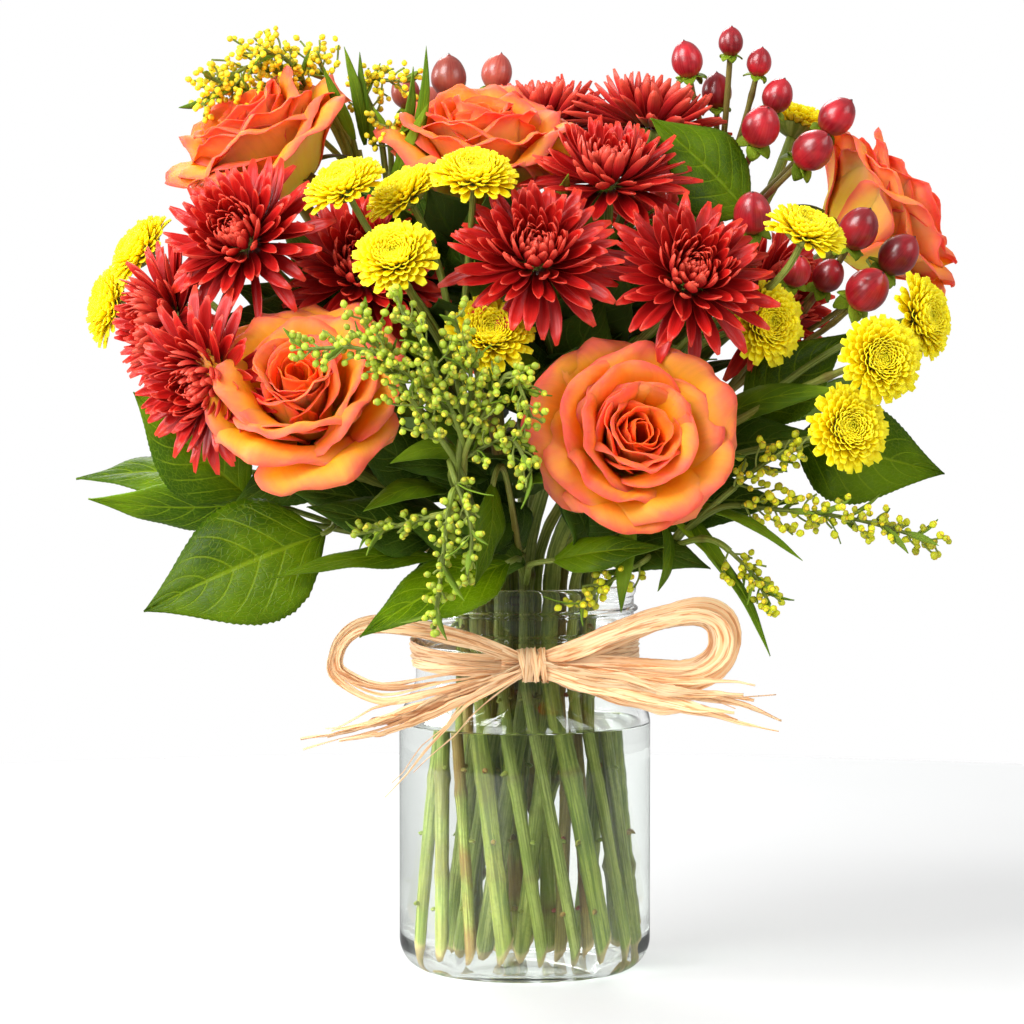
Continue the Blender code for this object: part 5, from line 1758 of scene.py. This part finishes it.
def lathed(profile: list[tuple[float, float]], segments: int) -> Shell:
    """A closed shape turned round Z: a disc whose rim is extruded from point to point of a profile.

    Args:
        profile: Points (radius, height) from one pole's first ring to the other pole's last ring.
        segments: How many sides it has.

    Returns:
        The shell.
    """
    deselect_all()
    (radius, height), *others = profile
    bpy.ops.mesh.primitive_circle_add(vertices=segments, radius=radius, fill_type="TRIFAN", location=(0, 0, height))
    obj = bpy.context.object
    obj.data.transform(obj.matrix_world)
    obj.location = (0, 0, 0)
    for vertex in obj.data.vertices:
        vertex.select = vertex.co.xy.length > radius / 2
    for edge in obj.data.edges:
        edge.select = all(obj.data.vertices[k].select for k in edge.vertices)
    for face in obj.data.polygons:
        face.select = False
    bpy.ops.object.mode_set(mode="EDIT")
    bpy.ops.mesh.select_mode(type="EDGE")
    last = (radius, height)
    for point in others:
        bpy.ops.mesh.extrude_edges_move(TRANSFORM_OT_translate={"value": (0, 0, point[1] - last[1])})
        share = point[0] / last[0]
        bpy.ops.transform.resize(value=(share, share, 1))
        last = point
    bpy.ops.mesh.extrude_edges_move()
    bpy.ops.mesh.merge(type="CENTER")
    bpy.ops.mesh.select_all(action="SELECT")
    bpy.ops.mesh.normals_make_consistent(inside=False)
    bpy.ops.object.mode_set(mode="OBJECT")
    return taken(obj, 1.0)


@dataclass
class Jar:
    """The glass jar: a straight body, a round shoulder, a neck with thread ridges and a rolled lip.

    Attributes:
        wall: The glass's thickness.
        floor: The foot's thickness.
        heel: The radius of the body's lower corner.
        shoulder_height: How tall the shoulder is.
        neck_height: How tall the neck is.
        threads: How far below the rim each ridge is.
        ridge: How proud a ridge is.
        segments: How many sides it has.
    """

    wall: float = 3.2
    floor: float = 5.0
    heel: float = 13.0
    shoulder_height: float = 19.0
    neck_height: float = 36.0
    threads: tuple[float, ...] = (25.5, 19.0, 10.0)
    ridge: float = 1.6
    segments: int = 128

    def shoulder(self, inset: float) -> list[tuple[float, float]]:
        """The shoulder's curve from the body up to the neck."""
        foot = RIM - self.neck_height - self.shoulder_height
        step = BODY_RADIUS - NECK_RADIUS
        shares = np.linspace(0.05, 1, 16)
        return [
            (NECK_RADIUS - inset + step * (1 + math.cos(math.pi * t)) / 2, foot + self.shoulder_height * t)
            for t in shares
        ]

    def outside(self) -> list[tuple[float, float]]:
        """The outer profile from the foot to the rim."""
        shoulder_foot = RIM - self.neck_height - self.shoulder_height
        points = [(3, 0.9), (14, 0.8), (24, 0.4), (29, 0.0)]
        points += arc((BODY_RADIUS - self.heel, self.heel), self.heel, -90, 0, 12)
        points += [(BODY_RADIUS, z) for z in np.linspace(self.heel + 6, shoulder_foot, 8)]
        points += self.shoulder(0)
        for below in self.threads:
            middle = RIM - below
            points += [
                (NECK_RADIUS + self.ridge * math.exp(-((z / 1.0) ** 4)), middle + z) for z in np.linspace(-2.2, 2.2, 13)
            ]
        points += [(NECK_RADIUS, RIM - 6.5)]
        return [*points, (NECK_RADIUS, RIM - 5), (NECK_RADIUS + 0.7, RIM - 3.8), (NECK_RADIUS + 0.9, RIM - 2.6)]

    def inside(self, grow: float = 0.0) -> list[tuple[float, float]]:
        """The inner profile from the floor up to the neck, moved into the hollow by grow."""
        shoulder_foot = RIM - self.neck_height - self.shoulder_height
        wall = self.wall + grow
        corner_radius = self.heel - self.wall
        points = [(3, self.floor + grow + 1.2), (16, self.floor + grow + 0.9), (24, self.floor + grow + 0.2)]
        points += arc((BODY_RADIUS - wall - corner_radius, self.floor + grow + corner_radius), corner_radius, -90, 0, 10)
        points += [(BODY_RADIUS - wall, z) for z in np.linspace(corner_radius + 10, shoulder_foot, 8)]
        return points + self.shoulder(wall)

    def build(self) -> None:
        """Makes the glass and the water."""
        lip = arc((NECK_RADIUS - 1.15, RIM - 2.05), 2.05, 0, 180, 10)
        profile = [*self.outside(), *lip, *self.inside()[::-1]]
        make_piece("jar_glass", lathed(profile, self.segments), GLASS, ("glass_jar",))
        level = WATER_LEVEL
        below = [point for point in self.inside(-0.12) if point[1] < level - 2]
        edge = BODY_RADIUS - self.wall + 0.12
        surface = [(edge, level + 0.9), (edge - 0.8, level + 0.45), (edge - 2, level + 0.12), (edge - 4, level), (6, level)]
        make_piece("jar_water", lathed([*below, *surface], self.segments), WATER, ("water",), 30)


@dataclass
class Raffia:
    """A band round the neck, a bow of two loops and four tails, and the knot round its waist.

    Attributes:
        thickness: Half a strip's thickness.
        loop_widths: The widths of each loop's strips.
        tail_widths: The widths of each tail's strips.
        loops: The route of each loop from the waist: across, in front of the knot's middle, and up.
        tails: The route of each tail.
    """

    thickness: float = 0.16
    loop_widths: tuple[tuple[float, ...], ...] = ((5.6, 2.6, 6.4, 1.8, 4.6), (2.2, 4.4, 1.4, 3.2))
    tail_widths: tuple[tuple[float, ...], ...] = (
        (5.4, 2.6, 6.0, 2.0, 4.2), (4.8, 2.2, 5.6, 3.2), (5.0, 2.2, 6.4, 3.0, 5.6, 1.6), (1.2, 1.6, 0.9),
    )
    loops: tuple[tuple[Point, ...], ...] = (
        (
            (4, 0, 2), (28, 5, 10), (47, 8, 18), (62, 8, 21), (71, 6, 17), (73, 4, 8), (68, 3, 0),
            (56, 2, -4), (30, 1, -2), (4, 0, -2),
        ),
        (
            (-4, 0, 2), (-30, 4, 12), (-60, 6, 16), (-72, 5, 11), (-76, 4, 1), (-71, 3, -5),
            (-56, 2, -10), (-32, 1, -6), (-4, 0, -2),
        ),
    )
    tails: tuple[tuple[Point, ...], ...] = (
        ((4, 1, -2), (28, 3, -9), (66, 6, -15), (94, 7, -22)),
        ((4, 2, 0), (44, 6, -8), (68, 8, -9), (92, 10, -11)),
        ((-4, 1, -2), (-30, 3, -12), (-66, 6, -24), (-88, 7, -29)),
        ((-4, 2, -3), (-24, 4, -16), (-40, 6, -31), (-56, 7, -50)),
    )

    def strip(self, path: Array, hint: Point, rng: np.random.Generator, width: float, twist: float = 0.0,
              taper: float = 0.45) -> Shell:
        """A dry strip along a path, pleated lengthwise and narrower at its end."""
        path = even_path(path, 1.4)
        share = np.linspace(0, 1, len(path))
        ragged = 1 + 0.12 * np.sin(share * rng.uniform(20, 40) + rng.uniform(0, 6)) + rng.normal(0, 0.02, len(path))
        across = width / 2 * ragged * (1 - taper * ease(share, 0.6, 1))
        sides = 16
        turns = np.arange(sides) * math.tau / sides
        place = np.cos(turns)[None] * across[:, None]
        drift = np.interp(share, np.linspace(0, 1, 7), rng.normal(0, 0.7, 7))[:, None]
        pleats = 0.34 * np.sin(place * 3.6 + drift + rng.uniform(0, 6)) + 0.16 * np.sin(place * 8.3 - 1.7 * drift)
        deep = np.interp(share, np.linspace(0, 1, 9), rng.uniform(0.4, 1.3, 9))[:, None]
        return sweep(path, across, np.full(len(path), self.thickness), sides, hint, rng.random(), twist=twist,
                     lift=pleats * deep * min(width / 3, 1.2))

    def bundle(self, route: tuple[Point, ...], widths: tuple[float, ...], spread: float, loose_end: bool,
               rng: np.random.Generator) -> list[Shell]:
        """Strips that follow a route, drawn together at the waist and fanned out away from it."""
        base = even_path(smooth_path([KNOT_MIDDLE + (x, -y, z) for x, y, z in route], 12), 2.0)
        share = np.linspace(0, 1, len(base))
        open_share = ease(share, 0.0, 0.5) if loose_end else np.sin(math.pi * share) ** 0.7
        _, first, second = travelling_frames(base, np.array((0.0, -0.35, 1.0)))
        made = []
        for k, width in enumerate(widths):
            place = (k + 0.5) / len(widths) * 2 - 1 + rng.normal(0, 0.12)
            depth = (k % 3 - 1) * 0.7
            wander = np.interp(share, np.linspace(0, 1, 7), rng.normal(0, 0.45, 7))
            offset = (place * spread * (0.35 + open_share) + wander * spread * 0.6 * open_share)[:, None]
            deeper = np.interp(share, np.linspace(0, 1, 7), rng.normal(0, 1.1, 7)) * open_share
            path = base + first * offset + second * (depth * (0.8 + 1.0 * open_share) + deeper)[:, None]
            if loose_end:
                stop = int(len(path) * (1.0 if k % 3 == 1 else rng.uniform(0.78, 1.0)))
                path = path[:max(stop, 8)]
            tilt = unit(np.array((0.1, -0.45, 0.9)) + rng.normal(0, 0.25, 3))
            end = 0.75 if loose_end else 0.1
            made.append(self.strip(path, tuple(tilt), rng, width, rng.normal(0, 0.8), end))
        return made

    def build(self, rng: np.random.Generator) -> None:
        """Makes the band, the bow and the knot."""
        middle, half = (BAND_LOW + BAND_HIGH) / 2, (BAND_HIGH - BAND_LOW) / 2
        band = []
        for k in range(6):
            turns = np.linspace(0, math.tau * 1.02, 120) + rng.uniform(-0.3, 0.3) - math.pi / 2
            height = middle + half * ((k + 0.5) / 3 - 1) * 0.8 + np.sin(turns * 2 + rng.uniform(0, 6)) * 1.1
            radius = NECK_RADIUS + 0.9 + 0.5 * (k % 3) + np.sin(turns * 3 + rng.uniform(0, 6)) * 0.15
            path = np.stack([radius * np.cos(turns), radius * np.sin(turns), height], axis=1)
            band.append(self.strip(path, (0, 0, 1), rng, rng.uniform(2.6, 4.6), taper=0.1))
        make_piece("raffia_band_strips", joined(band), RAFFIA, ("raffia_band",))
        bow = []
        for route, widths in zip(self.loops, self.loop_widths):
            bow += self.bundle(route, widths, 3.0, False, rng)
        for route, widths in zip(self.tails, self.tail_widths):
            bow += self.bundle(route, widths, 3.4, True, rng)
        waist = np.array([KNOT_MIDDLE + (x, 0, 0) for x in np.linspace(-12, 12, 9)])
        for k in range(14):
            turn = k * GOLDEN_ANGLE
            out = math.sqrt((k + 0.5) / 14)
            path = waist + (0, math.cos(turn) * 2.0 * out, math.sin(turn) * 4.2 * out)
            bow.append(self.strip(path, (0, math.cos(turn), math.sin(turn)), rng, 2.0))
        make_piece("raffia_bow_strips", joined(bow), RAFFIA, ("raffia_bow",))
        knot = []
        for k in range(6):
            turns = np.linspace(0, math.tau * 1.04, 60) + rng.uniform(0, 6)
            lean = rng.normal(0, 0.9)
            grow = 1 + 0.06 * (k % 2)
            x = -4.6 + 9.2 * (k + 0.5) / 6 + lean * np.sin(turns)
            path = np.stack([x, 3.7 * grow * np.cos(turns), 6.2 * grow * np.sin(turns)], axis=1)
            knot.append(self.strip(path + KNOT_MIDDLE, (1, 0, 0), rng, rng.uniform(2.2, 3.0)))
        make_piece("raffia_knot_strips", joined(knot), RAFFIA, ("raffia_knot",))


# --- the studio -------------------------------------------------------------------------------


@dataclass(frozen=True)
class Lamp:
    """A soft square lamp."""

    name: str
    place: Point
    size: float
    power: float
    colour: Colour = (1, 1, 1)


@dataclass
class Studio:
    """A white floor, a white surround, soft lamps and the camera. Lengths here are metres."""

    eye: Point = (-0.005, -2.0, 0.310)
    pitch_deg: float = -3.74
    lens: float = 180.8
    table: float = 0.75
    front_glow: float = 0.34
    back_glow: float = 1.0
    side_glow: float = 0.5
    lamps: tuple[Lamp, ...] = (
        Lamp("lamp_key", (-1.2, -1.3, 1.5), 1.2, 58),
        Lamp("lamp_side", (-1.7, 0.1, 0.7), 0.8, 20),
        Lamp("lamp_front", (-0.9, -1.7, 0.45), 0.7, 9),
        Lamp("lamp_fill", (1.6, -1.2, 1.0), 1.2, 14),
        Lamp("lamp_back", (-0.4, 1.6, 1.6), 1.0, 24),
    )

    def build(self) -> None:
        """Makes the camera, the floor, the lamps and the surround."""
        scene = bpy.context.scene
        deselect_all()
        bpy.ops.object.camera_add(location=self.eye, rotation=(math.radians(90 + self.pitch_deg), 0, 0))
        camera = bpy.context.object
        camera.name = "camera"
        camera.data.lens = self.lens
        camera.data.sensor_width = 36
        camera.data.clip_end = 100
        scene.camera = camera
        deselect_all()
        bpy.ops.mesh.primitive_circle_add(vertices=256, radius=self.table, fill_type="NGON", location=(0, 0, 0))
        floor = bpy.context.object
        floor.name = "studio_floor"
        floor.data.materials.append(self.paper())
        for lamp in self.lamps:
            bpy.ops.object.light_add(type="AREA", location=lamp.place)
            light = bpy.context.object
            light.name = lamp.name
            light.data.energy = lamp.power
            light.data.color = lamp.colour
            light.data.size = lamp.size
            aim = Vector((0, 0, 0.2)) - Vector(lamp.place)
            light.rotation_euler = aim.to_track_quat("-Z", "Y").to_euler()
            light.visible_camera = False
        world = bpy.data.worlds.new("surround")
        world.use_nodes = True
        graph = Graph(world.node_tree)
        _, back, up = graph.parts(graph.add("TexCoord").outputs["Generated"])[:3]
        towards = graph.maths("ADD", back, graph.maths("MULTIPLY", up, 0.5))
        around = graph.remap(towards, -0.9, 0.9, self.front_glow, self.back_glow)
        ray = graph.add("LightPath").outputs
        around = graph.maths("MULTIPLY", around, graph.maths("MULTIPLY_ADD", ray["Is Glossy Ray"], -0.6, 1.0))
        behind = graph.remap(back, 0.1, 0.8, self.side_glow, self.back_glow)
        behind = graph.maths("MULTIPLY", behind, graph.remap(back, -0.3, 0.15, 0.25, 1.0))
        around = graph.add("Mix", {0: ray["Is Transmission Ray"], 2: around, 3: behind}).outputs[0]
        strength = graph.maths("MAXIMUM", around, ray["Is Camera Ray"])
        graph.tree.links.new(strength, world.node_tree.nodes["Background"].inputs["Strength"])
        world.node_tree.nodes["Background"].inputs["Color"].default_value = (1, 1, 1, 1)
        scene.world = world
        scene.cycles.max_bounces = 24
        scene.cycles.transmission_bounces = 24
        scene.cycles.glossy_bounces = 8
        scene.view_settings.view_transform = "Standard"

    @staticmethod
    def paper() -> bpy.types.Material:
        """A matt white floor with a faint grain. Painted shade: it turns near-black where a reflection sees it, and in
        front where a ray through the glass sees it.
        """
        made = bpy.data.materials.new("studio_paper")
        made.use_nodes = True
        graph = Graph(made.node_tree)
        shader = made.node_tree.nodes["Principled BSDF"]
        grain = graph.add("TexNoise", {"Vector": Finish.place(graph), "Scale": 3.0, "Detail": 2.0}).outputs[0]
        colour = graph.mix(graph.remap(grain, 0.3, 0.7), (0.56, 0.565, 0.565), (0.575, 0.58, 0.58))
        ray = graph.add("LightPath").outputs
        # Painted shade: the floor is near-black where a reflection sees it.
        painted_shade_mask = graph.maths("GREATER_THAN", ray["Is Glossy Ray"], ray["Is Transmission Ray"])
        _, y, _ = graph.parts(Finish.place(graph))[:3]
        # Painted shade: in front, the floor is near-black where a ray through the glass sees it.
        before = graph.maths("MULTIPLY", ray["Is Transmission Ray"], graph.remap(y, -0.14, -0.06, 1.0, 0.0))
        painted_shade_mask = graph.maths("MAXIMUM", painted_shade_mask, before)
        colour = graph.mix(graph.maths("MULTIPLY", painted_shade_mask, 0.85), colour, (0.04, 0.04, 0.04))
        join(graph, shader, Base_Color=colour)
        shader.inputs["Roughness"].default_value = 0.55
        return made


def main() -> None:
    """Builds the studio, the jar, the raffia and all that stands in the jar."""
    logging.basicConfig(level=logging.INFO, format="%(message)s")
    Studio().build()
    Jar().build()
    Raffia().build(np.random.default_rng(11))
    for number, growth in enumerate(GROWTHS):
        growth.grow(np.random.default_rng(100 + number))
    Greenery().fill(np.random.default_rng(7))
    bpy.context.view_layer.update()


if __name__ == "__main__":
    main()
